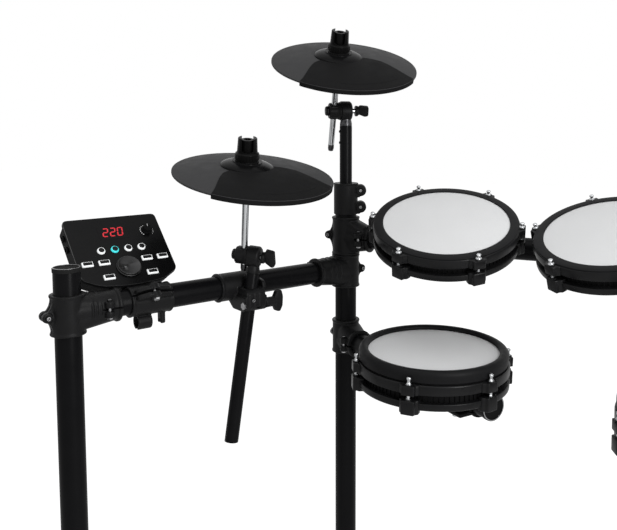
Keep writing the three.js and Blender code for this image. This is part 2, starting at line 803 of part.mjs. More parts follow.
function caseSkin(grow, front = 0) {
  const at = (z, side, bottom) => moduleOutline(side - grow, bottom - grow).map(([x, y]) => [x, y, z]);
  return loft([
    at(-moduleDepth - grow, moduleSideDraw, moduleBottomDraw),
    at(-moduleLip - grow, 0, 0),
    at(front, 0, 0),
  ]);
}

// Places of the controls on the face: [name, kind, column, row]
function controls() {
  const list = [];
  for (let i = 0; i < 4; i += 1) {
    list.push([`round_button_${i + 1}`, 'round', (i - 1.5) * roundPitch, roundRow]);
  }
  const columns = [-outerKeyColumn, -innerKeyColumn, innerKeyColumn, outerKeyColumn];
  columns.forEach((column, i) => list.push([`key_${i + 1}`, 'key', column, upperKeyRow]));
  [-lowerKeyColumn, lowerKeyColumn].forEach((column, i) => list.push([`key_${i + 5}`, 'key', column, lowerKeyRow]));
  return list;
}

function buttonBody(kind, grow, bottom, top) {
  if (kind === 'round') return cylinder(roundRadius + grow, bottom, top, smallSides);
  return block(-keyHalfWidth - grow, keyHalfWidth + grow, -keyHalfHeight - grow, keyHalfHeight + grow, bottom, top);
}

function moduleCase() {
  const pockets = controls().map(([, kind, x, y]) => buttonBody(kind, gap, -pocketDepth, overrun).translate(x, y, 0));
  return cut(caseSkin(0), ...pockets);
}

function moduleBracket(armToModule, moduleToArm) {
  const end = bracketStart + bracketLength;
  const middle = bracketStart + bracketLength / 2;
  const sleeve = alongX(cylinder(bracketRadius, bracketStart, end, tubeSides));
  const neck = block(middle - bracketNeckHalfWidth, middle + bracketNeckHalfWidth, -bracketNeckBack, 0,
    -bracketNeckDrop, moduleRise);
  const ears = block(middle - earHalfWidth * 1.6, middle + earHalfWidth * 1.6, 0, jawEarReach,
    -jawEarHeight - jawEarSlot / 2, jawEarHeight + jawEarSlot / 2);
  const slot = block(bracketStart - overrun, end + overrun, tubeRadius / 2, jawEarReach + overrun,
    -jawEarSlot / 2, jawEarSlot / 2);
  const bolt = cylinder(boltRadius, -jawEarHeight - jawEarSlot / 2 - boltHeadHeight,
    jawEarHeight + jawEarSlot / 2 + boltHeadHeight, smallSides)
    .translate(middle, (bracketRadius + jawEarReach) / 2 + overrun, 0);
  const hookCentre = -bracketRadius - hookRadius;
  const hookOuter = alongX(cylinder(hookRadius + hookWall, middle - hookLength / 2, middle + hookLength / 2,
    smallSides)).translate(0, 0, hookCentre);
  const hookBore = alongX(cylinder(hookRadius, middle - hookLength, middle + hookLength, smallSides))
    .translate(0, 0, hookCentre);
  const mouth = block(middle - hookLength, middle + hookLength, -hookMouth / 2, hookMouth / 2,
    hookCentre - hookRadius - hookWall - overrun, hookCentre);
  const bore = alongX(cylinder(boreFor(tubeRadius, tubeSides), bracketStart - overrun, end + overrun, tubeSides));
  const shape = cut(join(sleeve, neck, ears), slot);
  const hook = cut(hookOuter, hookBore, mouth);
  const casing = caseSkin(gap, moduleDepth).applyMatrix4(moduleToArm);
  const behind = block(bracketStart - overrun, end + overrun, -2 * bracketNeckBack, 0, moduleRise, 2 * moduleRise);
  return cut(join(shape, bolt, hook), bore, casing, behind);
}

// Assembly

function build() {
  const kit = new THREE.Group();
  const turn = armAngle * degree;
  const inner = [
    { name: 'left', x: 0, barTurn: 0, armTurn: turn - Math.PI, earTurn: -towerEarAzimuth * degree },
    { name: 'right', x: barLength, barTurn: Math.PI, armTurn: -turn, earTurn: Math.PI + towerEarAzimuth * degree },
  ];

  // Centre of the rack
  const barCollar = collar(barCollarHeight, -barBranchDrop);
  for (const side of inner) {
    const place = frameAt(side.x, 0, 0, side.barTurn);
    place.add(meshOf(`${side.name}_inner_post`, footedPost(innerPostTop), 'powderCoat'));
    const barPiece = meshOf(`${side.name}_bar_collar`, barCollar.clone(), 'casting');
    barPiece.position.z = barHeight + barBranchDrop;
    place.add(barPiece);
    kit.add(place);
    const tower = frameAt(side.x, 0, 0, side.earTurn);
    tower.add(meshOf(`${side.name}_tower_clamp`, towerClamp(), 'casting'));
    kit.add(tower);
  }
  const bar = frameAt(branchStart, 0, barHeight);
  bar.add(meshOf('centre_bar', rackTube(barLength - 2 * branchStart), 'powderCoat'));
  kit.add(bar);

  // Arms to the outer posts
  const armCollar = collar(armCollarHeight, armBranchRise);
  for (const side of inner) {
    const arm = frameAt(side.x, 0, armHeight, side.armTurn);
    const tube = meshOf(`${side.name}_arm_tube`, rackTube(armLength - 2 * branchStart), 'powderCoat');
    tube.position.x = branchStart;
    arm.add(tube);
    for (const [end, x, collarTurn] of [['inner', 0, 0], ['outer', armLength, Math.PI]]) {
      const place = frameAt(x, 0, -armBranchRise, collarTurn);
      place.add(meshOf(`${side.name}_${end}_collar`, armCollar.clone(), 'casting'));
      arm.add(place);
    }
    const outer = frameAt(armLength, 0, -armHeight);
    outer.add(meshOf(`${side.name}_outer_post`, cappedPost(outerPostTop), 'powderCoat'));
    arm.add(outer);
    kit.add(arm);
    if (side.name === 'left') dressLeftArm(arm, side);
    addCrash(kit, side);
  }

  addToms(kit);
  addSidePad(kit, 'snare', 0, -snareArmTurn * degree);
  addSidePad(kit, 'floor', barLength, -floorArmTurn * degree);
  return kit;
}

function addCrash(kit, side) {
  const left = side.name === 'left';
  const lean = left ? -crashTurn * degree : Math.PI + crashTurn * degree;
  const tilt = crashTilt * degree;
  const frame = frameAt(side.x, 0, crashHinge, lean - Math.PI / 2);
  kit.add(frame);
  // The hinge lies across the lean with the rod on its outer side on both cymbals
  const mirror = left ? 1 : -1;
  const tubeFrame = new THREE.Group();
  if (!left) tubeFrame.rotation.z = Math.PI;
  frame.add(tubeFrame);
  const azimuth = left ? crashDiscAzimuth * degree : lean - rubberTurn * degree;
  const direction = leaning(tilt, lean);
  const discTurn = discTurnIn(frame, tubeFrame, mirror * tilt, direction, level(azimuth));
  cymbalStand(left ? 'crash' : 'ride', tubeFrame, crashTubeBottom - crashHinge, mirror * tilt, crashDiscRise,
    discTurn, { rodAside: crashRodAside, topperTurn: mirror * crashTopperTurn });
}

// The disc's turn, given in the world, as seen from the rod's frame
function discTurnIn(frame, tubeFrame, tilt, direction, ahead) {
  const rodTurn = new THREE.Quaternion();
  frame.updateWorldMatrix(true, false);
  tubeFrame.updateWorldMatrix(true, false);
  tubeFrame.getWorldQuaternion(rodTurn);
  rodTurn.multiply(new THREE.Quaternion().setFromAxisAngle(new THREE.Vector3(1, 0, 0), -tilt));
  return rodTurn.invert().multiply(turnOnto(direction, ahead));
}

function dressLeftArm(arm, side) {
  arm.add(meshOf('hihat_clamp', hihatClamp(), 'casting'));

  const module = new THREE.Group();
  module.position.set(moduleAlong, moduleAside, moduleRise);
  module.quaternion.setFromRotationMatrix(new THREE.Matrix4().makeBasis(
    new THREE.Vector3(-1, 0, 0),
    new THREE.Vector3(0, -Math.cos(moduleTilt * degree), Math.sin(moduleTilt * degree)),
    new THREE.Vector3(0, Math.sin(moduleTilt * degree), Math.cos(moduleTilt * degree)),
  ));
  module.updateMatrix();
  arm.add(module);
  module.add(meshOf('module_case', moduleCase(), 'gloss'));
  arm.add(meshOf('module_bracket', moduleBracket(module.matrix.clone().invert(), module.matrix), 'casting'));
  for (const [name, kind, x, y] of controls()) {
    const button = meshOf(`module_${name}`, buttonBody(kind, 0, -buttonSink, buttonRise), 'lit');
    button.position.set(x, y, 0);
    module.add(button);
  }
  module.add(meshOf('module_dial', cylinder(dialRadius, gap, dialRise, padSides), 'gloss'));
  const volume = meshOf('module_volume', taper(volumeRadius, volumeTaper, gap, volumeRise, tubeSides), 'gloss');
  volume.position.set(volumeColumn, volumeRow, 0);
  module.add(volume);

  // Hi-hat: the tube leans in the plane of the arm, the rod leans from the tube towards the player
  const tubeUp = new THREE.Vector3(-Math.sin(hihatLean * degree), 0, Math.cos(hihatLean * degree));
  const armTurn = new THREE.Quaternion().setFromAxisAngle(new THREE.Vector3(0, 0, 1), -side.armTurn);
  const rodUp = leaning(hihatRodTilt * degree, -hihatRodTurn * degree).applyQuaternion(armTurn);
  const hinge = new THREE.Vector3().crossVectors(rodUp, tubeUp).normalize();
  const tubeFrame = new THREE.Group();
  tubeFrame.position.set(hihatAlong, hihatAside, 0).addScaledVector(tubeUp, hihatHingeRise);
  tubeFrame.quaternion.copy(turnOnto(tubeUp, hinge));
  arm.add(tubeFrame);
  const tilt = tubeUp.angleTo(rodUp);
  const discUp = leaning(hihatDiscTilt * degree, -hihatDiscTurn * degree);
  const discTurn = discTurnIn(arm, tubeFrame, tilt, discUp, level(hihatDiscAzimuth * degree));
  cymbalStand('hihat', tubeFrame, -hihatTubeBelow - hihatHingeRise, tilt, hihatDiscRise, discTurn,
    { rodAside: hihatRodAside, topperTurn: hihatTopperTurn });
}

function addToms(kit) {
  const tilt = tomTilt * degree;
  const pinDrop = (tomHeight - barHeight) / Math.cos(tilt);
  for (const [name, side] of [['tom_1', 1], ['tom_2', -1]]) {
    const face = -Math.PI / 2 + side * tomTurn * degree;
    const x = side > 0 ? tomAcross : barLength - tomAcross;
    const up = leaning(tilt, face);
    const frame = new THREE.Group();
    frame.position.set(x, -tomForward, tomHeight);
    frame.quaternion.copy(turnOnto(up, level(face + Math.PI / 2)));
    kit.add(frame);
    drumPad(name, frame, side * tomLugTurn * degree, forkBracket(pinDrop),
      { rise: tomRimRise, depth: tomRimDepth, lift: tomHoopLift });
    const pin = frame.position.clone().addScaledVector(up, -pinDrop);
    kit.add(meshOf(`${name}_mount`, tomClamp(pin, face), 'casting'));
  }
}

// A sleeve on the centre bar with a beam that ends in an eye round the pad's pin
function tomClamp(pin, face) {
  const reach = -pin.y / Math.cos(face + Math.PI / 2);
  const foot = pin.x - reach * Math.cos(face);
  const sleeve = alongX(cylinder(tomClampRadius, foot - tomClampLength / 2, foot + tomClampLength / 2, tubeSides))
    .translate(0, 0, barHeight);
  const beam = block(0, reach, -tomBeamHalfWidth, tomBeamHalfWidth, -tomBeamHalfHeight, tomBeamHalfHeight);
  const eye = alongY(cylinder(tomEyeRadius, -tomBeamHalfWidth, tomBeamHalfWidth, tubeSides))
    .translate(reach, 0, 0);
  const arm = join(beam, eye).rotateZ(face).translate(foot, 0, barHeight);
  const pinBore = alongY(cylinder(boreFor(pivotPinRadius, smallSides), -tomEyeRadius, tomEyeRadius, smallSides))
    .rotateZ(face).translate(pin.x, pin.y, pin.z);
  const barBore = alongX(cylinder(boreFor(tubeRadius, tubeSides), foot - tomClampLength, foot + tomClampLength,
    tubeSides)).translate(0, 0, barHeight);
  return cut(join(sleeve, arm), pinBore, barBore);
}

function addSidePad(kit, name, x, turn) {
  const arm = frameAt(x, 0, sideArmHeight, turn);
  kit.add(arm);
  const end = sideArmLength - capHeight;
  const tube = join(pipe(tubeRadius, tubeRadius - tubeWall, branchStart, end, tubeSides),
    tubeCap().translate(0, 0, end));
  arm.add(meshOf(`${name}_arm_tube`, alongX(tube), 'powderCoat'));
  const place = frameAt(0, 0, sideBranchDrop);
  place.add(meshOf(`${name}_arm_collar`, collar(sideCollarHeight, -sideBranchDrop), 'casting'));
  arm.add(place);

  const frame = new THREE.Group();
  frame.position.set(sidePadAlong, -sidePadAcross, sidePadRise);
  frame.quaternion.copy(turnOnto(leaning(sidePadTilt * degree, 0), level(0)));
  frame.updateMatrix();
  arm.add(frame);
  drumPad(name, frame, sideLugTurn * degree, sleeveBracket(frame.matrix.clone().invert()),
    { rise: rimRise, depth: rimDepth, lift: 0 });
}

export default build();
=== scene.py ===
import bpy
import bmesh
import json
from math import pi, sin, cos, radians, sqrt, atan2, hypot
from mathutils import Matrix, Vector


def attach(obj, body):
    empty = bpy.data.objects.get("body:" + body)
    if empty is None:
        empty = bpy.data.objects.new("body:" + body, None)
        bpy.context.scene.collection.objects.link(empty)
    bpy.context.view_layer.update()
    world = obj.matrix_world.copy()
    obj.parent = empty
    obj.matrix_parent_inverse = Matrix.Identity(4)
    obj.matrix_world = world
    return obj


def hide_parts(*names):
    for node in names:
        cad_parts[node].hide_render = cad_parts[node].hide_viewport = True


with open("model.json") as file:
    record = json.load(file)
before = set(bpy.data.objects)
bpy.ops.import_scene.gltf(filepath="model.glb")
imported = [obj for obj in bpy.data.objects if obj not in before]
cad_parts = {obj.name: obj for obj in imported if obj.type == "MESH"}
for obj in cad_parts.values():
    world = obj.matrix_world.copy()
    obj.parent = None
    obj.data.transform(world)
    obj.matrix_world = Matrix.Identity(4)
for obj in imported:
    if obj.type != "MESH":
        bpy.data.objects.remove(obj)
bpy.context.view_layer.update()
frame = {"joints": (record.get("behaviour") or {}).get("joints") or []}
joints = {joint["name"]: joint for joint in frame["joints"]}
mm = 0.001
across = Matrix.Rotation(pi / 2, 4, "Y")    # takes a piece drawn along Z onto X
sideways = Matrix.Rotation(-pi / 2, 4, "X")    # and onto Y
backwards = Matrix.Rotation(pi / 2, 4, "X")    # onto Y the other way
downwards = Matrix.Rotation(pi, 4, "X")
opposite = Matrix.Rotation(pi, 4, "Z")    # half a turn on the spot
# takes an outline's two directions onto Y and Z, and its thickness onto X
intoPlan = Matrix(((0, 0, 1, 0), (1, 0, 0, 0), (0, 1, 0, 0), (0, 0, 0, 1)))


# Finishes

def addNode(tree, kind, values=(), wires=(), **options):
    node = tree.nodes.new(f"ShaderNode{kind}")
    for option, value in options.items():
        setattr(node, option, value)
    for socket, value in dict(values).items():
        node.inputs[socket].default_value = value
    for socket, source in dict(wires).items():
        tree.links.new(source, node.inputs[socket])
    return node


def grained(name, colour, roughness, grain, depth, patch=0.0, tone=None, sockets=None):
    material = bpy.data.materials.new(name)
    material.use_nodes = True
    tree = material.node_tree
    shader = tree.nodes["Principled BSDF"].inputs
    for socket, value in {"Base Color": (*colour, 1), "Roughness": roughness, **(sockets or {})}.items():
        shader[socket].default_value = value
    place = addNode(tree, "TexCoord").outputs["Object"]
    noise = addNode(tree, "TexNoise", {"Scale": 1 / (grain * mm), "Detail": 3}, {"Vector": place})
    bump = addNode(tree, "Bump", {"Distance": depth * mm, "Strength": 0.8}, {"Height": noise.outputs["Fac"]})
    tree.links.new(bump.outputs["Normal"], shader["Normal"])
    if patch:    # broad, faint changes of tone and gloss
        cloud = addNode(tree, "TexNoise", {"Scale": 1 / (patch * mm), "Detail": 4}, {"Vector": place})
        spread = {"From Min": 0.3, "From Max": 0.7, "To Min": roughness * 0.88,
                  "To Max": min(roughness * 1.14, 1)}
        gloss = addNode(tree, "MapRange", spread, {"Value": cloud.outputs["Fac"]})
        tree.links.new(gloss.outputs["Result"], shader["Roughness"])
        other = tone or [c * 1.35 for c in colour]
        mix = addNode(tree, "Mix", {"A": (*colour, 1), "B": (*other, 1)}, {"Factor": cloud.outputs["Fac"]},
                      data_type="RGBA")
        tree.links.new(mix.outputs["Result"], shader["Base Color"])
    return material


def shining(level):
    return {"Specular IOR Level": level}


def woven(name, colour, pitch, depth):
    material = grained(name, colour, 0.62, 0.2, 0.01, sockets={"Sheen Weight": 0.15, **shining(0.35)})
    tree = material.node_tree
    shader = tree.nodes["Principled BSDF"].inputs
    cloth = addNode(tree, "UVMap", uv_map="weave").outputs["UV"]
    warp, weft = [addNode(tree, "TexWave", {"Scale": 1 / (pitch * 3.18)}, {"Vector": cloth},
                          bands_direction=direction).outputs["Fac"] for direction in ("X", "Y")]
    crossing = addNode(tree, "Math", {}, {0: warp, 1: weft}, operation="MAXIMUM").outputs["Value"]
    bump = addNode(tree, "Bump", {"Distance": depth * mm}, {"Height": crossing})
    tree.links.new(bump.outputs["Normal"], shader["Normal"])
    soil = addNode(tree, "TexNoise", {"Scale": 9}, {"Vector": addNode(tree, "TexCoord").outputs["Object"]})
    # the gaps between threads are darkened: painted shade; the noise clouds only change the tone at random
    paintedGapShade = addNode(tree, "MapRange", {"To Min": 0.86, "To Max": 1.0}, {"Value": crossing})
    darker, lighter = [(*[c * share for c in colour], 1) for share in (0.93, 1.04)]
    tone = addNode(tree, "Mix", {"A": darker, "B": lighter}, {"Factor": soil.outputs["Fac"]},
                   data_type="RGBA")
    toneWithPaintedShade = addNode(tree, "Mix", {"Factor": 1}, {"A": tone.outputs["Result"], "B": paintedGapShade.outputs["Result"]},
                   data_type="RGBA", blend_type="MULTIPLY")
    tree.links.new(toneWithPaintedShade.outputs["Result"], shader["Base Color"])
    return material


def lit(name, colour, strength):
    return grained(name, colour, 0.35, 0.4, 0.01,
                   sockets={"Emission Color": (*colour, 1), "Emission Strength": strength})


# Each finish: name, colour, roughness, grain and its depth in mm, size of its clouds in mm
metal = {"Metallic": 1}
finishes = {
    "powderCoat": grained("black powder coat", (0.0035, 0.0035, 0.0039), 0.3, 0.9, 0.02, 30,
                          sockets=shining(0.055)),
    "casting": grained("moulded clamp", (0.0065, 0.0065, 0.0068), 0.4, 0.6, 0.09, 12, sockets=shining(0.1)),
    "moulding": grained("moulded shell", (0.004, 0.004, 0.0042), 0.4, 0.5, 0.03, 14, sockets=shining(0.06)),
    "hoopBlack": grained("hoop", (0.0045, 0.0045, 0.0048), 0.3, 0.8, 0.02, 18, sockets=shining(0.14)),
    "rimRubber": grained("rim rubber", (0.006, 0.006, 0.0064), 0.45, 0.6, 0.03, 16, sockets=shining(0.06)),
    "footRubber": grained("foot rubber", (0.01, 0.01, 0.01), 0.7, 0.7, 0.05, 10, sockets=shining(0.06)),
    "meshHead": woven("mesh head", (0.62, 0.625, 0.63), 0.55, 0.08),
    "cymbalPlate": grained("cymbal plate", (0.034, 0.034, 0.035), 0.55, 0.55, 0.06, 20,
                           sockets=shining(0.04)),
    "cymbalRubber": grained("striking zone rubber", (0.0075, 0.0075, 0.0077), 0.6, 0.5, 0.04, 25,
                            sockets=shining(0.02)),
    "bellGloss": grained("bell", (0.0035, 0.0035, 0.0037), 0.2, 1.2, 0.01, 20, sockets=shining(0.04)),
    "topperBlack": grained("topper", (0.003, 0.003, 0.003), 0.28, 0.6, 0.03, 9, sockets=shining(0.05)),
    "felt": grained("felt", (0.03, 0.03, 0.03), 0.95, 0.3, 0.15, 3),
    "chrome": grained("chrome", (0.55, 0.56, 0.57), 0.16, 1.4, 0.004, 8, (0.5, 0.51, 0.52), metal),
    "darkSteel": grained("dark steel", (0.05, 0.05, 0.052), 0.3, 0.4, 0.01, 4, sockets=metal),
    # grey metal of the bolts, also used for painted highlights on the post caps' rims and in the topper's
    # notch
    "boltMetalAndPaintedHighlight": grained("bolt", (0.3, 0.3, 0.305), 0.3, 0.4, 0.01, 2, sockets=metal),
    "caseFace": grained("module face", (0.0022, 0.0022, 0.0024), 0.3, 0.4, 0.01, 25, sockets=shining(0.09)),
    "caseSide": grained("module side", (0.006, 0.006, 0.0064), 0.45, 0.35, 0.04, 12, sockets=shining(0.02)),
    # the face's rounded rim is lighter than the face: a painted highlight; its higher gloss is the surface's
    # own
    "caseEdgeHighlight": grained("module edge", (0.035, 0.035, 0.036), 0.25, 0.3, 0.01, 6, sockets=shining(0.6)),
    "whiteLamp": lit("lit button skirt", (0.82, 0.84, 0.84), 0.35),
    "cyanLamp": lit("cyan button skirt", (0.06, 0.7, 0.72), 0.4),
    "redLamp": lit("display segment", (0.42, 0.001, 0.01), 0.6),
    "dialSpun": grained("spun dial", (0.035, 0.035, 0.0355), 0.3, 0.5, 0.004, 9,
                        sockets={**metal, "Anisotropic": 0.85}),
    "whitePaint": grained("white marking", (0.6, 0.6, 0.6), 0.5, 0.3, 0.01),
}
print("finishes made")


# Shapes are drawn in millimetres, each as a bmesh of its own

def softened(points, radius, closed=False, steps=3):
    count, result = len(points), []
    for i, point in enumerate(points):
        here = Vector(point[:2])
        reach = point[2] if len(point) > 2 else radius
        if (not closed and i in (0, count - 1)) or not reach:
            result.append(here)
            continue
        before = Vector(points[i - 1][:2]) - here
        after = Vector(points[(i + 1) % count][:2]) - here
        reach = min(reach, before.length / 2.05, after.length / 2.05)
        start, end = here + before.normalized() * reach, here + after.normalized() * reach
        for step in range(steps + 1):
            t = step / steps
            result.append(start * (1 - t) ** 2 + here * 2 * t * (1 - t) + end * t * t)
    return result


def turned(profile, steps=64, angle=2 * pi, closed=False):
    part = bmesh.new()
    points = [part.verts.new((r, 0, z)) for r, z in profile]
    lines = [part.edges.new(pair) for pair in zip(points, points[1:])]
    if closed:
        lines.append(part.edges.new((points[-1], points[0])))
    whole = angle > 6.28
    bmesh.ops.spin(part, geom=points + lines, cent=(0, 0, 0), axis=(0, 0, 1), angle=angle, steps=steps,
                   use_merge=whole, use_duplicate=False)
    bmesh.ops.remove_doubles(part, verts=part.verts, dist=0.002)
    if not whole:
        bmesh.ops.holes_fill(part, edges=[e for e in part.edges if e.is_boundary], sides=0)
    return part


def lathed(profile, soft, steps, closed=False):
    return turned(softened(profile, soft, closed), steps, closed=closed)


def ringOf(outer, inner, low, high, soft=0.4, steps=64):
    return lathed([(outer, low), (outer, high), (inner, high), (inner, low)], soft, steps, True)


def barOf(radius, low, high, soft=0.4, steps=32):
    return lathed([(0, low), (radius, low), (radius, high), (0, high)], soft, steps)


def lippedSleeve(radius, half, lip):
    return lathed([(0, -half), (radius + lip, -half, 0.8), (radius + lip, 3 - half, 0.5), (radius, 4 - half),
                   (radius, half - 4), (radius + lip, half - 3, 0.5), (radius + lip, half, 0.8), (0, half)],
                  0.5, 64)


def slab(outline, low, high, soft=0.0, steps=2):
    part = bmesh.new()
    face = part.faces.new([part.verts.new((x, y, low)) for x, y in outline])
    made = bmesh.ops.extrude_face_region(part, geom=[face])
    top = [piece for piece in made["geom"] if isinstance(piece, bmesh.types.BMVert)]
    bmesh.ops.translate(part, vec=(0, 0, high - low), verts=top)
    bmesh.ops.holes_fill(part, edges=[e for e in part.edges if e.is_boundary], sides=0)
    if soft:
        rims = [e for e in part.edges if abs(e.verts[0].co.z - e.verts[1].co.z) < 1e-4]
        bmesh.ops.bevel(part, geom=rims, offset=soft, offset_type="OFFSET", affect="EDGES", segments=steps,
                        profile=0.5, material=-1, clamp_overlap=True)
    return part


def block(low, high, soft=0.5, steps=2):
    part = bmesh.new()
    bmesh.ops.create_cube(part, size=1)
    low, high = Vector(low), Vector(high)
    bmesh.ops.scale(part, vec=high - low, verts=part.verts)
    bmesh.ops.translate(part, vec=(low + high) / 2, verts=part.verts)
    if soft:
        bmesh.ops.bevel(part, geom=part.edges[:], offset=soft, offset_type="OFFSET", affect="EDGES",
                        segments=steps, profile=0.5, material=-1, clamp_overlap=True)
    return part


def lofted(rings):
    part = bmesh.new()
    loops = []
    for ring in rings:
        points = [part.verts.new(point) for point in ring]
        loops.append([part.edges.new(pair) for pair in zip(points, points[1:] + points[:1])])
    for first, second in zip(loops, loops[1:]):
        bmesh.ops.bridge_loops(part, edges=first + second)
    bmesh.ops.holes_fill(part, edges=[e for e in part.edges if e.is_boundary], sides=0)
    return part


def moved(x=0.0, y=0.0, z=0.0, turn=0.0):
    return Matrix.Translation((x, y, z)) @ Matrix.Rotation(turn, 4, "Z")


def around(count, start=0.0):
    return [Matrix.Rotation(start + 2 * pi * i / count, 4, "Z") for i in range(count)]


def axesAt(place, ahead, up):
    z = Vector(up).normalized()
    x = Vector(ahead)
    x = (x - z * x.dot(z)).normalized()
    matrix = Matrix((x, z.cross(x), z)).transposed().to_4x4()
    matrix.translation = Vector(place)
    return matrix


def leaning(tilt, azimuth):
    return Vector((sin(tilt) * cos(azimuth), sin(tilt) * sin(azimuth), cos(tilt)))


def meshFrom(bm, name="held"):
    mesh = bpy.data.meshes.new(name)
    bm.to_mesh(mesh)
    bm.free()
    return mesh


def put(bm, part, at=Matrix(), tint=0):
    bmesh.ops.transform(part, matrix=at, verts=part.verts)
    bmesh.ops.recalc_face_normals(part, faces=part.faces)
    for face in part.faces:
        face.material_index = tint
    held = meshFrom(part)
    bm.from_mesh(held)
    bpy.data.meshes.remove(held)


def linked(name, data):
    made = bpy.data.objects.new(name, data)
    bpy.context.scene.collection.objects.link(made)
    return made


def holderOf(bm):
    return linked("held", meshFrom(bm))


def settled(holder):
    evaluated = holder.evaluated_get(bpy.context.evaluated_depsgraph_get())
    mesh = bpy.data.meshes.new_from_object(evaluated)
    bpy.data.objects.remove(holder)
    return mesh


def carved(bm, cutters):
    holder = holderOf(bm)
    tools = []
    for part, at in cutters:
        tool = bmesh.new()
        put(tool, part, at)
        tools.append(holderOf(tool))
        cut = holder.modifiers.new("cut", "BOOLEAN")
        cut.operation, cut.solver, cut.object = "DIFFERENCE", "EXACT", tools[-1]
    mesh = settled(holder)
    for tool in tools:
        bpy.data.objects.remove(tool)
    return mesh


# One moulded body: its shapes flow together, then its bores and slots are cut crisp
def moulded(shapes, cutters=(), voxel=1.0, smoothing=3):
    bm = bmesh.new()
    for part, at in shapes:
        put(bm, part, at)
    holder = holderOf(bm)
    skin = holder.modifiers.new("skin", "REMESH")
    skin.mode = "VOXEL"
    skin.voxel_size = voxel
    bm = opened(settled(holder))
    for _ in range(smoothing):
        bmesh.ops.smooth_vert(bm, verts=bm.verts, factor=0.5, use_axis_x=True, use_axis_y=True,
                              use_axis_z=True)
    return carved(bm, cutters)


def opened(mesh):
    bm = bmesh.new()
    bm.from_mesh(mesh)
    bmesh.ops.recalc_face_normals(bm, faces=bm.faces)
    return bm


# Each piece takes the place of the node of its own name: leftArmTube of left_arm_tube
def piece(name, bm, at, finish, body, slot, sharp=38, flat=False):
    bmesh.ops.transform(bm, matrix=Matrix.Scale(mm, 4) @ at, verts=bm.verts)
    mesh = meshFrom(bm, name)
    for each in finish:
        mesh.materials.append(finishes[each])
    mesh.shade_smooth()
    mesh.set_sharp_from_angle(angle=radians(sharp))
    made = linked(name, mesh)
    if flat:
        made.modifiers.new("flat faces", "WEIGHTED_NORMAL").keep_sharp = True
    node = "".join("_" + letter.lower() if letter.isupper() else letter for letter in name)
    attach(made, body)
    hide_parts(node)


# Where the rack's pieces stand
rack = {
    "barLength": 720, "armLength": 500, "armAngle": radians(60.6), "tube": 19.05, "wall": 1.6,
    "barHeight": 818, "armHeight": 760, "sideHeight": 629.5, "innerTop": 890, "outerTop": 819.5,
    "tubeStart": 20.4, "sideLength": 405, "snareTurn": radians(-35.6), "floorTurn": radians(-100),
}
leftArm = moved(0, 0, rack["armHeight"], rack["armAngle"] - pi)
rightArm = moved(rack["barLength"], 0, rack["armHeight"], -rack["armAngle"])
armEnd = moved(rack["armLength"])
snareArm = moved(0, 0, rack["sideHeight"], rack["snareTurn"])
floorArm = moved(rack["barLength"], 0, rack["sideHeight"], rack["floorTurn"])


# Tubes, posts, feet and caps
post = {"footRadius": 24.5, "footTop": 22.2, "footHeight": 34, "floor": 7, "capRadius": 19.9, "capHeight": 6}


def tube(bm, low, high, at=Matrix()):
    put(bm, ringOf(rack["tube"], rack["tube"] - rack["wall"], low, high, 0.5, 72), at)


def foot(bm):
    ribs = [(0, 0), (post["footRadius"], 0, 1.5), (post["footRadius"], 6)]
    for i in range(4):
        z = 8 + i * 5
        wide = post["footRadius"] - (post["footRadius"] - post["footTop"]) * z / post["footHeight"]
        ribs += [(wide, z), (wide - 0.9, z + 1), (wide - 0.9, z + 2), (wide, z + 3)]
    ribs += [(post["footTop"], post["footHeight"], 1.6), (rack["tube"] + 0.1, post["footHeight"]),
             (rack["tube"] + 0.1, post["floor"]), (0, post["floor"])]
    put(bm, lathed(ribs, 0.6, 72), tint=1)


def endCap(bm, at):
    r, h = post["capRadius"], post["capHeight"]
    profile = [(rack["tube"] - 2, -8), (rack["tube"] - 2, -0.4), (r, -0.4), (r, h, 1.4), (r - 2.4, h, 0.7),
               (r - 3.2, h - 1.5, 0.5), (0, h - 1.3)]
    put(bm, lathed(profile, 0.3, 72), at, 1)
    # the thin light grey metal ring on the cap's rim is a painted highlight
    put(bm, ringOf(r - 0.8, r - 2.2, h - 0.4, h + 0.25, 0.25, 72), at, 2)


for side, place in (("left", Matrix()), ("right", moved(rack["barLength"]))):
    bm = bmesh.new()
    tube(bm, post["floor"] - 1, rack["innerTop"])
    foot(bm)
    piece(f"{side}InnerPost", bm, place, ["powderCoat", "footRubber"], "rack", "powder_coat")
    arm = leftArm if side == "left" else rightArm
    bm = bmesh.new()
    tube(bm, post["floor"] - 1, rack["outerTop"])
    foot(bm)
    endCap(bm, moved(z=rack["outerTop"]))
    piece(f"{side}OuterPost", bm, arm @ armEnd @ moved(z=-rack["armHeight"]),
          ["powderCoat", "footRubber", "boltMetalAndPaintedHighlight"], f"{side}_leg", "powder_coat")
    bm = bmesh.new()
    tube(bm, rack["tubeStart"], rack["armLength"] - rack["tubeStart"], across)
    piece(f"{side}ArmTube", bm, arm, ["powderCoat"], f"{side}_arm", "powder_coat")

bm = bmesh.new()
tube(bm, rack["tubeStart"], rack["barLength"] - rack["tubeStart"], across)
piece("centreBar", bm, moved(z=rack["barHeight"]), ["powderCoat"], "rack", "powder_coat")
for name, arm in (("snare", snareArm), ("floor", floorArm)):
    bm = bmesh.new()
    tube(bm, rack["tubeStart"], rack["sideLength"], across)
    endCap(bm, moved(rack["sideLength"]) @ across)
    piece(f"{name}ArmTube", bm, arm, ["powderCoat", "moulding", "boltMetalAndPaintedHighlight"], f"{name}_arm", "powder_coat")
print("tubes and feet made")


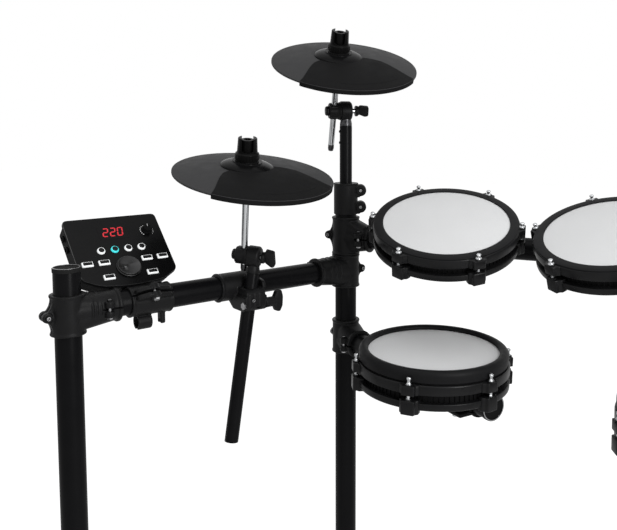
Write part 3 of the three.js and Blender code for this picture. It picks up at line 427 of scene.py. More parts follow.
# Socket bolts and hex nuts, head up along Z
def socketBolt(bm, at, radius=4.0, height=3.6, tint=1):
    well = radius * 0.52
    head = [(0, 0), (radius, 0), (radius, height, 0.7), (well, height, 0.15), (well, height - 2),
            (0, height - 2)]
    put(bm, lathed(head, 0.1, 24), at, 0)
    put(bm, ringOf(radius + 1.3, radius * 0.7, -0.7, 0.2, 0.15, 24), at, 0)
    put(bm, ringOf(well + 0.7, well - 0.3, height - 1, height + 0.15, 0.12, 24), at, tint)
    put(bm, barOf(well * 0.55, height - 2.3, height - 1.2, 0.2, 6), at, tint)


def hexNut(bm, at, radius=5.0, height=4.0, tint=1):
    put(bm, lathed([(0, 0), (radius, 0), (radius, height - 0.8), (radius * 0.86, height), (0, height)],
                   0, 6), at, tint)


# A bolt along Z with its head up and its nut below; half is the distance to either
def through(bm, at, half, shaft, head, nut, tints=(1, 1, 1)):
    put(bm, barOf(shaft[0], -shaft[1], shaft[1], shaft[2], 16), at, tints[0])
    socketBolt(bm, at @ moved(z=half), *head, tints[1])
    hexNut(bm, at @ moved(z=-half) @ downwards, *nut, tints[2])


def tubeBore():
    return barOf(collar["bore"], -60, 60, 0, 72)


# Collars: a sleeve round the post, a branch, webs between them and a clamping ear behind
collar = {
    "sleeve": 24.0, "lip": 25.3, "lipHeight": 3.4, "branch": 23.4, "reach": 51, "flange": 25.6,
    "flangeWidth": 5, "web": 22.4, "boltAt": 35, "earReach": 31.5, "earBoss": 7.4, "earHalf": 10.5,
    "slot": 2.6, "bore": 19.45, "boss": 7.0, "bossSpread": 12,
}


# each kind's height, and how far its branch sits above its middle
onBar = {"height": 68.4, "branchAt": -3.2}
onArm = {"height": 59.4, "branchAt": 2.8}
onSide = {"height": 60, "branchAt": -6.5}
branches = {"Inner": dict(collar, reach=70, boltAt=64), "Outer": dict(collar, reach=73, boltAt=52)}


def squared(value, power):    # pulls a circle towards a square
    return (1 if value > 0 else -1) * abs(value) ** power


def collarMesh(kind, slotSide, c=collar):
    half, branchAt = kind["height"] / 2, kind["branchAt"]
    lipEnd, branchEnd = half - c["lipHeight"], c["reach"] - c["flangeWidth"]
    sleeve = [(0, -half), (c["lip"], -half, 0.9), (c["lip"], -lipEnd, 0.6), (c["sleeve"], 0.8 - lipEnd),
              (c["sleeve"], lipEnd - 0.8), (c["lip"], lipEnd, 0.6), (c["lip"], half, 0.9), (0, half)]
    stub = [(0, 4), (c["branch"], 4), (c["branch"], branchEnd - 1), (c["flange"], branchEnd, 0.6),
            (c["flange"], c["reach"], 0.9), (0, c["reach"])]
    shapes = [(lathed(sleeve, 0.5, 72), Matrix()), (lathed(stub, 0.5, 72), moved(z=branchAt) @ across)]
    # the web leaves the sleeve as a rounded square and meets the branch as a circle
    rings = []
    sections = [(2, half - 4.5, c["web"], 0, 0.45), (c["web"] - 4, half - 5, c["web"], 0, 0.5),
                (c["reach"] - 9, c["branch"], c["branch"], branchAt, 1)]
    for x, tall, wide, middle, power in sections:
        ring = []
        for i in range(48):
            angle = 2 * pi * i / 48
            ring.append((x, wide * squared(cos(angle), power), middle + tall * squared(sin(angle), power)))
        rings.append(ring)
    shapes.append((lofted(rings), Matrix()))
    # the ear is a bow that narrows to a round boss
    flank = [(-14, half - 5), (-22, half - 5), (-25, half * 0.45), (-c["earReach"] + 3, c["earBoss"] + 1.5)]
    for side in (-1, 1):
        low, high = sorted((side * c["slot"] / 2, side * c["earHalf"]))
        bow = softened(flank + [(-c["earReach"] - 1, 0)] + [(x, -z) for x, z in reversed(flank)], 3, True)
        shapes.append((slab(bow, low + (2.5 if side < 0 else 0), high - (2.5 if side > 0 else 0)),
                       backwards))
        shapes.append((barOf(c["earBoss"], low, high, 1.0), moved(-c["earReach"] + 1) @ sideways))
    for i in range(3):    # ribs round the branch
        x = c["sleeve"] + 3 + i * (c["boltAt"] - c["sleeve"] - 10) / 3
        rib = ringOf(c["branch"] + 2.2 - 0.5 * i, c["branch"] - 3, x, x + 2.2, 0.7, 64)
        shapes.append((rib, moved(z=branchAt) @ across))
    # bosses above and below the branch's slot
    for side in (-1, 1):
        low, high = sorted((side * 2.4, side * c["bossSpread"]))
        shapes.append((barOf(c["boss"], low, high, 1.4),
                       moved(c["boltAt"], slotSide * (c["branch"] + 1.5), branchAt)))
    cutters = [
        (barOf(c["bore"], -half - 3, half + 3, 0, 72), Matrix()),
        (barOf(c["bore"], 4, c["reach"] + 3, 0, 72), moved(z=branchAt) @ across),
        (block((-60, -c["slot"] / 2, -half - 3), (-15, c["slot"] / 2, half + 3), 0), Matrix()),
        (block((c["boltAt"] - 9, min(0, slotSide * 50), branchAt - 1.5),
               (c["reach"] + 3, max(0, slotSide * 50), branchAt + 1.5), 0), Matrix()),
    ]
    return moulded(shapes, cutters)


def collarPiece(name, mesh, branchAt, slotSide, boltSide, at, body, c=collar):
    bm = opened(mesh)
    through(bm, moved(-c["earReach"] + 1) @ (sideways if boltSide > 0 else backwards), c["earHalf"] - 0.3,
            (2.4, c["earHalf"], 0.2), (4.0, 3.6), (4.6, 3))
    through(bm, moved(c["boltAt"], slotSide * (c["branch"] + 1.5), branchAt), c["bossSpread"] - 0.3,
            (2.3, c["bossSpread"], 0.2), (3.6, 3.2), (4.2, 2.6))
    piece(name, bm, at, ["casting", "boltMetalAndPaintedHighlight"], body, "casting")


for side, facing, place in (("left", -1, Matrix()), ("right", 1, moved(rack["barLength"], turn=pi))):
    collarPiece(f"{side}BarCollar", collarMesh(onBar, facing), onBar["branchAt"], facing, facing,
                place @ moved(z=rack["barHeight"] - onBar["branchAt"]), "rack")
armCollars = {(end, facing): collarMesh(onArm, facing, branches[end])
              for end in branches for facing in (-1, 1)}
level = moved(z=-onArm["branchAt"])
for side, arm, near in (("left", leftArm, 1), ("right", rightArm, -1)):
    for end, place, inward in (("Inner", level, near), ("Outer", armEnd @ level @ opposite, -near)):
        slotSide = -inward if end == "Inner" else inward
        collarPiece(f"{side}{end}Collar", armCollars[end, slotSide], onArm["branchAt"], slotSide, inward,
                    arm @ place, f"{side}_arm", branches[end])
sideCollar = collarMesh(onSide, -1)
for name, arm in (("snare", snareArm), ("floor", floorArm)):
    collarPiece(f"{name}ArmCollar", sideCollar, onSide["branchAt"], -1, -1,
                arm @ moved(z=-onSide["branchAt"]), f"{name}_arm")
print("collars made")


# Tower clamps on the inner posts
tower = {"low": 860, "high": 916.5, "radius": 21.6, "ear": 10.4, "earOut": 26.5, "spread": 15, "half": 10.5,
         "slot": 2.4, "rim": 1.2}
towerMiddle = (tower["low"] + tower["high"]) / 2


def towerMesh():
    t = tower
    sleeve = [(0, t["low"]), (t["radius"], t["low"], 0.8), (t["radius"], t["high"] - 2.4),
              (t["radius"] + t["rim"], t["high"] - 1.8), (t["radius"] + t["rim"], t["high"], 0.8),
              (0, t["high"])]
    shapes = [(lathed(sleeve, 0.4, 72), Matrix())]
    for level in (-t["spread"], t["spread"]):
        for side in (-1, 1):
            low, high = sorted((side * t["slot"] / 2, side * t["half"]))
            z = towerMiddle + level
            shapes.append((barOf(t["ear"], low, high, 1.0, 40), moved(t["earOut"], 0, z) @ sideways))
            shapes.append((block((8, low, z - t["ear"] - 2), (t["earOut"] - 1, high, z + t["ear"] - 1), 1),
                           Matrix()))
    cutters = [
        (barOf(collar["bore"], t["low"] - 3, rack["innerTop"] + 0.4, 0, 72), Matrix()),
        (barOf(11.6, t["low"] - 3, t["high"] + 3, 0, 64), Matrix()),
        (block((8, -t["slot"] / 2, t["low"] - 3), (50, t["slot"] / 2, t["high"] + 3), 0), Matrix()),
    ]
    return moulded(shapes, cutters, 0.9, 2)


towerBody = towerMesh()
clamps = {"left": (moved(turn=radians(24)), backwards),
          "right": (moved(rack["barLength"], turn=radians(156)), sideways)}
for side, (place, facing) in clamps.items():
    bm = opened(towerBody)
    for level in (-tower["spread"], tower["spread"]):
        there = moved(tower["earOut"], 0, towerMiddle + level) @ facing
        put(bm, ringOf(7.6, 4.6, 0, 1.8, 0.6, 40), there @ moved(z=tower["half"] - 0.3))
        through(bm, there, tower["half"] - 0.3, (2.6, tower["half"], 0.2), (3.6, 2.2), (5, 3))
    piece(f"{side}TowerClamp", bm, place, ["casting", "boltMetalAndPaintedHighlight"], "rack", "casting")
print("tower clamps made")


# Drum pads, from the face of the head downwards
pad = {
    "head": 99.7, "inner": 96.5, "rim": 110, "groove": 107, "grooveLow": -12.4,
    "hoop": 112, "hoopLow": -26.4, "shell": 104.1, "lowerTop": -38, "lowerLow": -48, "floor": -47,
    "lugs": 6, "lugReach": 120, "lugHalf": 14, "lugTip": 10, "rodAt": 114.4, "lowerLugTop": -33.6,
    "lowerLugLow": -53.4, "ribs": 90,
}
# the toms' rim lies almost flush with the head, so their hoops sit higher
flushRim = {"rise": 1.6, "edge": 0.9, "low": -0.4, "lift": 11.6, "stem": 0.64}
raisedRim = {"rise": 6.6, "edge": 2.4, "low": -10, "lift": 0, "stem": 0.86}


def lugOutline(inward, flare, blunt, soft):
    p = pad
    half = [(p["groove"] - inward, p["lugHalf"], 0), (p["hoop"] + 0.5, p["lugHalf"]),
            (p["hoop"] + flare, p["lugTip"]), (p["lugReach"], p["lugTip"] - blunt)]
    return softened([(x, -y, *rest) for x, y, *rest in half] + half[::-1], soft, True)


def padHead(name, at, body):
    bm = bmesh.new()
    p = pad
    put(bm, lathed([(0, 0), (p["head"] - 1, 0), (p["head"], -1.5), (0, -1.5)], 0.5, 120))
    layer = bm.loops.layers.uv.new("weave")
    for face in bm.faces:
        for loop in face.loops:
            loop[layer].uv = loop.vert.co.xy
    piece(f"{name}Head", bm, at, ["meshHead"], body, "mesh_head")


def padHoop(name, at, lugTurn, body, rim):
    bm = bmesh.new()
    p = pad
    lift = rim["lift"]
    grooveLow, hoopLow, lugTop = p["grooveLow"] + lift, p["hoopLow"] + lift, p["lowerLugTop"] + lift
    if lift:
        crest = [(p["inner"], 0.3), (p["inner"], rim["rise"] - 0.5, 0.3),
                 (p["inner"] + 1.6, rim["rise"], 0.8), (p["groove"] - 1, rim["rise"], 3),
                 (p["rim"] + 0.8, rim["edge"], 1), (p["rim"] + 0.8, rim["low"], 0.3),
                 (p["groove"], rim["low"] - 0.3)]
    else:
        crest = [(p["inner"], 0.3), (p["inner"], rim["rise"] - 2.6, 1), (p["inner"] + 3.2, rim["rise"], 2.2),
                 (p["groove"] - 1, rim["rise"], 3.2), (p["rim"], rim["edge"], 3.2),
                 (p["rim"], rim["low"], 0.8), (p["groove"], rim["low"] - 1)]
    ring = crest + [(p["groove"], hoopLow + 2.4), (p["shell"] + 0.4, hoopLow + 2.4), (p["shell"] + 0.4, -1.9),
                    (p["head"] + 0.5, -1.9), (p["head"] + 0.5, 0.3)]
    put(bm, lathed(ring, 0.3, 144, True))
    band = [(p["groove"] - 0.5, grooveLow), (p["hoop"] - 1.2, grooveLow, 0.5), (p["hoop"], grooveLow - 1.2),
            (p["hoop"], hoopLow, 1.1), (p["groove"] - 0.5, hoopLow)]
    put(bm, lathed(band, 0.8, 144, True), tint=1)
    for turn in around(p["lugs"], lugTurn):
        put(bm, slab(lugOutline(1, 3, 1, 1.6), hoopLow, grooveLow - 0.4, 0.9), turn, 1)
        bolt = turn @ moved(p["rodAt"])
        put(bm, ringOf(5.6, 2.9, grooveLow - 1, grooveLow + 0.9, 0.5, 32), bolt, 1)
        put(bm, barOf(4.3, grooveLow + 0.6, grooveLow + 1.7, 0.3, 32), bolt, 2)
        put(bm, barOf(2.5, lugTop + 0.3, grooveLow + 2, 0.2, 24), bolt, 2)
        stem = [(r, grooveLow + z * rim["stem"], soft) for r, z, soft in (
            (0, 1.4, 0), (3.5, 1.4, 0), (3.5, 3.2, 0.4), (2.3, 4.2, 0.4), (2.3, 8, 0), (3.4, 9, 0.5),
            (3.4, 12.2, 0.8), (0, 13.9, 0))]
        put(bm, lathed(stem, 0.3, 24), bolt, 2)
    piece(f"{name}Hoop", bm, at, ["rimRubber", "hoopBlack", "chrome"], body, "hoop_rubber")


def padShell(name, at, lugTurn, body, bracket, rim):
    bm = bmesh.new()
    p = pad
    wall = p["shell"] - 1.6
    floor, bandTop, bandLow, lugTop, lugLow = [p[level] + rim["lift"] for level in (
        "floor", "lowerTop", "lowerLow", "lowerLugTop", "lowerLugLow")]
    cup = [(0, floor + 3), (wall - 4, floor + 3), (wall - 4, -2), (wall, -2), (wall, bandTop - 2),
           (wall, floor, 2), (0, floor)]
    put(bm, lathed(cup, 0.4, 144))
    for turn in around(p["ribs"]):    # upright ribs that show in the gap between the hoops
        put(bm, block((wall - 0.6, -0.9, bandTop - 1), (p["shell"], 0.9, -2.4), 0.3, 1), turn)
    band = [(wall - 2, bandTop), (p["hoop"], bandTop, 1.1), (p["hoop"], bandLow, 2.4), (wall - 2, bandLow)]
    put(bm, lathed(band, 0.6, 144, True), tint=1)
    for turn in around(p["lugs"], lugTurn):
        put(bm, slab(lugOutline(2, 3.5, 0.5, 1.8), lugLow, lugTop, 1.4, 3), turn, 1)
        put(bm, ringOf(5.4, 2.9, lugTop - 0.6, lugTop + 1.2, 0.5, 32), turn @ moved(p["rodAt"]), 1)
        put(bm, barOf(3.2, lugTop - 0.4, lugTop + 2.6, 0.4, 6), turn @ moved(p["rodAt"]), 2)
    bracket(bm)
    piece(f"{name}Shell", bm, at, ["moulding", "hoopBlack", "chrome", "boltMetalAndPaintedHighlight"], body, "moulding")


# The toms' forks and their mounts on the centre bar
tom = {"across": 237.6, "forward": 161.7, "height": 881.2, "tilt": radians(20.9), "turn": radians(16.6),
       "lugTurn": radians(-6.4), "beam": 9, "earWide": 7, "earHalf": 13, "clamp": 42, "sleeve": 23}
pinDrop = (tom["height"] - rack["barHeight"]) / cos(tom["tilt"])


def forkBracket(bm):
    inside = tom["beam"] + 0.4
    outside = inside + tom["earWide"]
    floor = pad["floor"] + flushRim["lift"]
    put(bm, block((-outside - 4, -22, floor - 3.5), (outside + 4, 22, floor + 0.5), 1.2))
    half = [(22, floor, 0), (22, floor - 3), (tom["earHalf"], floor - 14), (tom["earHalf"], -pinDrop),
            (8, -pinDrop - 11)]
    outline = softened([(-x, *rest) for x, *rest in half] + half[::-1], 5, True)
    for side in (-1, 1):
        low, high = sorted((side * inside, side * outside))
        put(bm, slab(outline, low, high, 0.9), intoPlan)
    pin = moved(z=-pinDrop) @ across
    put(bm, barOf(4, -outside - 1, outside + 1, 0.3, 24), pin, 3)
    socketBolt(bm, pin @ moved(z=outside - 0.3), 5.4, 3.6, 3)
    hexNut(bm, pin @ moved(z=-outside + 0.3) @ downwards, 6, 3.6, 3)


def tomMount(name, pin, face):
    reach = -pin.y / cos(face + pi / 2)
    start = pin.x - reach * cos(face)
    along = moved(start, 0, rack["barHeight"], face)
    sleeveAt = moved(start, 0, rack["barHeight"]) @ across
    eye = along @ moved(reach) @ sideways
    beam = [[(x, y * w, z * h) for y, z in ((-1, -1), (1, -1), (1, 1), (-1, 1))]
            for x, w, h in ((4, 16, 16), (26, 12, 13), (48, 9, 10), (reach, 9, 10))]
    shapes = [(lippedSleeve(tom["sleeve"], tom["clamp"] / 2, 1), sleeveAt), (lofted(beam), along),
              (barOf(13, -9, 9, 0.8, 48), eye),
              (block((-34, -11, -9), (-12, 11, 9), 2), along)]
    cutters = [(tubeBore(), sleeveAt), (barOf(4.4, -20, 20, 0, 24), eye),
               (block((-60, -30, -1.2), (-12, 30, 1.2), 0), along)]
    bm = opened(moulded(shapes, cutters, 1.0, 2))
    through(bm, along @ moved(-27), 8.7, (2.4, 9, 0.1), (4, 3.4), (4.6, 3))
    piece(f"{name}Mount", bm, Matrix(), ["casting", "boltMetalAndPaintedHighlight"], "rack", "casting")


for node, side in (("tom_1", 1), ("tom_2", -1)):
    face = -pi / 2 + side * tom["turn"]
    up = leaning(tom["tilt"], face)
    x = tom["across"] if side > 0 else rack["barLength"] - tom["across"]
    centre = Vector((x, -tom["forward"], tom["height"]))
    at = axesAt(centre, (cos(face + pi / 2), sin(face + pi / 2), 0), up)
    body = f"{node}_pad"
    padHead(node, at, body)
    padHoop(node, at, side * tom["lugTurn"], body, flushRim)
    padShell(node, at, side * tom["lugTurn"], body, forkBracket, flushRim)
    tomMount(node, centre - up * pinDrop, face)
print("toms made")


# Snare and floor pads turn on their arms in a split sleeve
sidePad = {"along": 328.6, "aside": -45.8, "rise": 70.3, "tilt": radians(2), "lugTurn": radians(6.2),
           "start": 336, "length": 48, "sleeve": 22.6}


def sleeveBracket(armToPad):
    s = sidePad
    middle, half = s["start"] + s["length"] / 2, s["length"] / 2
    end = s["start"] + s["length"]
    shapes = [(lippedSleeve(s["sleeve"], half, 0.9), moved(middle) @ across),
              (block((s["start"] + 1, -s["sleeve"] + 1, 0), (end - 1, 4, s["rise"] + pad["floor"] + 1), 2),
               Matrix())]
    for low, high in ((-8, -1.2), (1.2, 8)):
        shapes.append((block((s["start"] + 6, -35, low - 12), (end - 6, -8, high - 12), 1.6), Matrix()))
    cutters = [(tubeBore(), moved(middle) @ across),
               (block((s["start"] - 9, -60, -13.2), (end + 9, -10, -10.8), 0), Matrix())]
    mesh = moulded(shapes, cutters, 1.0, 2)

    def add(bm):
        put(bm, opened(mesh), armToPad)
        through(bm, armToPad @ moved(middle, -28.5, -12), 7.7, (2.4, 8, 0.1), (4, 3.4), (4.8, 3.2),
                (3, 3, 2))
    return add


for node, arm in (("snare", snareArm), ("floor", floorArm)):
    place = (sidePad["along"], sidePad["aside"], sidePad["rise"])
    local = axesAt(place, (1, 0, 0), leaning(sidePad["tilt"], 0))
    at = arm @ local
    body = f"{node}_pad"
    padHead(node, at, body)
    padHoop(node, at, sidePad["lugTurn"], body, raisedRim)
    padShell(node, at, sidePad["lugTurn"], body, sleeveBracket(local.inverted()), raisedRim)
print("snare and floor pads made")


# Cymbals: the hub carries the disc a little off its middle
disc = {"radius": 126.5, "rise": 15, "top": 36, "thick": 3.0, "shift": 12, "bell": 41, "bellTop": 19,
        "bore": 9.5, "seat": 22, "seatCentre": 11.6, "zoneTurn": radians(-67), "zoneHalf": radians(52),
        "zoneHalfInside": radians(73), "zoneDepth": 66, "skirt": 8, "lift": 0.8}


def discHeight(r):    # the plate's upper face, slightly domed
    share = max(0.0, min(1.0, (disc["radius"] - r) / (disc["radius"] - disc["top"])))
    return disc["rise"] * (share * 0.9 + 0.1 * sin(share * pi / 2)) + 0.9 * sin(share * pi)


def cymbal(node, at, body, zoneTurn):
    d = disc
    bm = bmesh.new()
    middle = moved(d["shift"])
    radii = [d["radius"] - 0.2 - (d["radius"] - 24) * i / 26 for i in range(27)]
    top = [(r, discHeight(r)) for r in radii]
    under = [(r, discHeight(r) - d["thick"]) for r in reversed(radii)]
    rim = [(d["radius"], -d["thick"] + 0.5, 0.6), (d["radius"], -0.4, 0.6)]
    plate = [(r, z, 0) for r, z in under] + rim + [(r, z, 0) for r, z in top]
    put(bm, lathed(plate, 0, 180, True), middle, 0)
    crown = [(r, d["seatCentre"] + sqrt(d["seat"] ** 2 - r * r), 0)
             for r in (d["bellTop"], 15, 12, d["bore"])]
    cone = [(d["bore"], 8.4), (d["bell"] - 1, 8.4), (d["bell"], 11, 1), (d["bell"], 15.4, 1.4), (36, 17.9, 3),
            (29, 20.2, 4), (24, 21.2, 0.4), (23.8, 22.9, 0.5), (20.6, 22.9, 0.4)] + crown
    put(bm, lathed(cone, 0.4, 120, True), tint=2)
    # the rubber zone wraps the rim, hangs below it and spreads round the bell
    edge = d["radius"] + 0.7
    inside = [(r, discHeight(r) + d["lift"], 0) for r in (30, 40, 52, 64, 76, 88, 100, 112, 119)]
    inside += [(edge, 0.6, 3.4), (edge - 0.6, -d["skirt"], 1.0), (edge - 4, -d["skirt"], 0.8),
               (edge - 5, -3.4, 1), (30, discHeight(30) - 3.2, 0)]
    zone = turned(softened(inside, 0.5, True), 96, 2 * d["zoneHalf"], True)
    for vert in zone.verts:
        r, angle = hypot(vert.co.x, vert.co.y), atan2(vert.co.y, vert.co.x)
        if angle < -1e-6:
            angle += 2 * pi
        inner = max(0.0, min(1.0, (d["radius"] - r) / d["zoneDepth"]))
        spread = d["zoneHalf"] + (d["zoneHalfInside"] - d["zoneHalf"]) * inner ** 1.7
        angle = zoneTurn + (angle - d["zoneHalf"]) / d["zoneHalf"] * spread
        vert.co.x, vert.co.y = r * cos(angle), r * sin(angle)
    put(bm, zone, middle, 1)
    crest = ((107.6, -0.3), (107.9, 0.35), (108.6, 0.35), (108.9, -0.3))
    ridge = [(r, discHeight(r) + d["lift"] + h) for r, h in crest]
    put(bm, turned(softened(ridge, 0, True), 48, radians(58), True),
        middle @ moved(turn=zoneTurn - radians(20)), 1)
    piece(f"{node}Cymbal", bm, at, ["cymbalPlate", "cymbalRubber", "bellGloss"], body, "cymbal_plate", 30)


# The rod with its felt and the topper over the bell
spindle = {"radius": 5.4, "below": 165.4, "feltRadius": 12, "feltLow": -3.8, "feltTop": 6.2, "ball": 22.8,
           "skirt": 18.6, "skirtHeight": 10.5, "waist": 16.2, "shoulder": 12.6, "top": 14.8, "height": 35,
           "notch": 8.8, "notchFloor": 13.4, "boss": 10.6, "bossTop": 32.4, "hole": 5.7}


def cymbalRod(node, at, body, topperTurn):
    s = spindle
    under = [(r, disc["seatCentre"] + sqrt(s["ball"] ** 2 - r * r), 0)
             for r in (s["radius"], 9, 13, 16, s["skirt"])]
    base = under[-1][1]
    bm = bmesh.new()
    put(bm, barOf(s["radius"], -s["below"] + 12, under[0][1] + 1, 0.2, 40), tint=0)
    end = -s["below"]
    tip = [(0, end), (s["radius"] - 0.7, end, 0.6), (s["radius"] - 0.7, end + 3), (s["radius"], end + 3.4),
           (s["radius"], end + 12.2), (0, end + 12.2)]
    put(bm, lathed(tip, 0.3, 40), tint=4)
    put(bm, ringOf(s["feltRadius"], s["radius"] - 0.1, s["feltLow"], s["feltTop"], 2.2, 48), tint=2)
    brim, waist = base + s["skirtHeight"], base + s["shoulder"]
    skirt = [(0, under[0][1], 0)] + under
    skirt += [(s["skirt"], brim, 0.8), (s["skirt"] - 1.6, brim + 0.8, 0.5), (s["waist"], waist, 0.6),
              (0, waist)]
    put(bm, lathed(skirt, 0.3, 96), tint=1)
    for turn in around(24):    # fine grips round the skirt
        put(bm, barOf(0.6, base + 1.6, brim - 1, 0.2, 8), turn @ moved(s["skirt"] - 0.2), 1)
    # above it a tapered body is notched from front to back, which leaves two prongs and a boss
    prongs = bmesh.new()
    taper = [(0, waist - 2), (s["waist"], waist - 2), (s["top"], base + s["height"], 1.0),
             (0, base + s["height"])]
    put(prongs, lathed(taper, 0.3, 72))
    notch = softened([(-s["notch"], s["height"] + 5, 0), (-s["notch"], s["notchFloor"]),
                      (s["notch"], s["notchFloor"]), (s["notch"], s["height"] + 5, 0)], 6, True, 6)
    facing = moved(turn=topperTurn)
    prongs = carved(prongs, [(slab(notch, -30, 30), moved(z=base) @ backwards)])
    put(bm, opened(prongs), facing, 1)
    # a strip of light grey metal along the notch floor's front edge is a painted highlight
    lip = [(s["top"] - 0.6, s["notchFloor"] - 0.8), (s["top"] + 1, s["notchFloor"] - 0.8),
           (s["top"] + 1, s["notchFloor"] + 0.3), (s["top"] - 0.6, s["notchFloor"] + 0.3)]
    put(bm, turned(softened(lip, 0.2, True), 30, radians(66), True),
        moved(z=base) @ facing @ moved(turn=radians(-123)), 3)
    boss = [(0, s["shoulder"] - 2), (s["boss"], s["shoulder"] - 2), (s["boss"] - 0.5, s["bossTop"], 0.8),
            (s["hole"], s["bossTop"], 0.5), (s["hole"], s["bossTop"] - 7), (0, s["bossTop"] - 7)]
    put(bm, lathed(boss, 0.4, 56), moved(z=base), 1)
    piece(f"{node}Rod", bm, at, ["chrome", "topperBlack", "felt", "boltMetalAndPaintedHighlight", "darkSteel"], body,
          "rod_chrome")


# The stand's tube ends in a drum; the holder turns against it
tilter = {"drum": 17.5, "half": 9.8, "thin": 11.1, "thinWall": 1.5, "neckDrop": 27, "holder": 13.4,
          "end": 31.5, "nut": 8.0, "shaft": 4.4}


def standTube(node, low, at, body, rivets):
    t = tilter
    bm = bmesh.new()
    put(bm, ringOf(t["thin"], t["thin"] - t["thinWall"], low, -t["neckDrop"], 0.3, 56))
    neck = [(0, -t["neckDrop"] - 4), (t["thin"] - 1.7, -t["neckDrop"] - 4), (t["thin"] - 1.7, -t["neckDrop"]),
            (t["thin"] - 0.2, -t["neckDrop"] + 0.3), (t["thin"] - 0.2, -t["neckDrop"] + 5, 0.6),
            (t["thin"] - 1.4, -t["drum"] + 1, 1), (9.3, -8), (0, -8)]
    put(bm, lathed(neck, 0.4, 56), tint=2 if node == "hihat" else 1)
    drum = [(0, -t["half"]), (t["drum"] - 3, -t["half"], 1), (t["drum"], -t["half"] + 3, 1.6),
            (t["drum"], t["half"], 0.8), (t["drum"] - 2.5, t["half"]), (0, t["half"])]
    put(bm, lathed(drum, 0.6, 72), across, 2)
    for z in rivets:
        put(bm, barOf(2.4, 0, 2.0, 0.9, 20),
            moved(z=z, turn=radians(8)) @ moved(t["thin"] - 0.3) @ across, 2)
    piece(f"{node}Tube", bm, at, ["powderCoat", "darkSteel", "casting"], body, "powder_coat")


def tiltHead(node, at, body, stand):
    t = tilter
    length, tall, thick, wingStart = stand["wing"]
    inside = t["half"] + 0.3
    holder = [(0, inside), (t["drum"] - 1.2, inside, 0.6), (t["drum"] - 1.6, inside + 3, 1.2),
              (t["holder"] + 0.8, inside + 6, 2), (t["holder"], t["end"], 1.6), (0, t["end"])]
    shapes = [(lathed(holder, 0.5, 72), across),
              (block((inside + 4, -9.5, -12.5), (t["end"] - 1, 9.5, 12.5), 1.5), Matrix())]
    cutters = [(barOf(spindle["radius"] + 0.35, -30, 30, 0, 40), moved(stand["aside"]))]
    bm = opened(moulded(shapes, cutters, 0.8, 2))
    nut = [(0, 0), (t["nut"], 0, 0.4), (t["nut"] + 1.2, 2, 0.4), (t["nut"] + 1.2, 4.4, 0.6),
           (t["nut"] - 0.6, 7, 0.6), (0, 7)]
    put(bm, lathed(nut, 0.3, 8), moved(t["end"] - 1) @ across, 0)
    put(bm, barOf(t["shaft"], -wingStart - 3, inside + 1, 0.2, 32), across, 1)
    hub = [(0, 0), (9.6, 0, 0.8), (9.6, 3.8, 0.8), (7.2, 6.4, 1), (0, 6.4)]
    put(bm, lathed(hub, 0.5, 40), moved(2 - wingStart) @ opposite @ across, 0)
    blade = [(0, -5, 1), (5, -tall * 0.62), (length * 0.7, -tall), (length, -tall * 0.82),
             (length * 0.94, tall * 0.86), (length * 0.2, tall), (2, tall * 0.8), (0, 5, 1)]
    upright = Matrix.Rotation(stand["wingTurn"], 4, "X") @ backwards
    put(bm, slab(softened(blade, 2.4, True), -thick, thick, 1.2, 3),
        moved(-wingStart - 2) @ opposite @ upright, 0)
    piece(f"{node}Tilter", bm, at, ["casting", "chrome"], body, "casting")


# an empty normal means that the disc stands square on its rod
tallStand = {"low": -340, "discAt": 88.2, "normal": None, "rivets": (-36.5, -56.5), "aside": 22,
             "wingTurn": 0.15, "wing": (21, 10.5, 3.8, 19), "zoneShift": radians(-3.5)}
stands = {
    "crash": dict(tallStand, topperTurn=radians(-13)),
    "ride": dict(tallStand, topperTurn=radians(13)),
    "hihat": {"low": -302, "discAt": 138.4, "normal": leaning(radians(12.8), radians(-35.1)),
              "rivets": (-34, -52), "aside": 18, "wingTurn": 0.2, "wing": (18, 15.5, 4.4, 14),
              "zoneShift": radians(1.5), "topperTurn": radians(19)},
}
for node, stand in stands.items():
    hinge = joints[f"{node}_tilt"]
    place = Vector(hinge["pos_m"]) / mm
    tubeUp, rodUp = joints[f"{node}_height"]["axis"], joints[f"{node}_rod_height"]["axis"]
    tubeFrame = axesAt(place, hinge["axis"], tubeUp)
    headFrame = axesAt(place, hinge["axis"], rodUp)
    standTube(node, stand["low"], tubeFrame, f"{node}_stem", stand["rivets"])
    tiltHead(node, headFrame, f"{node}_joint", stand)
    cymbalRod(node, headFrame @ moved(stand["aside"], 0, stand["discAt"]), f"{node}_spindle",
              stand["topperTurn"])
    sway = joints[f"{node}_sway"]
    normal = stand["normal"] or Vector(rodUp)
    swayFrame = axesAt(Vector(sway["pos_m"]) / mm, sway["axis"], normal)
    # the sway axis lies across the striking zone
    discFrame = swayFrame @ moved(turn=-disc["zoneTurn"] - pi / 2) @ moved(z=-disc["seatCentre"])
    cymbal(node, discFrame, f"{node}_disc", disc["zoneTurn"] + stand["zoneShift"])
print("cymbals and stands made")


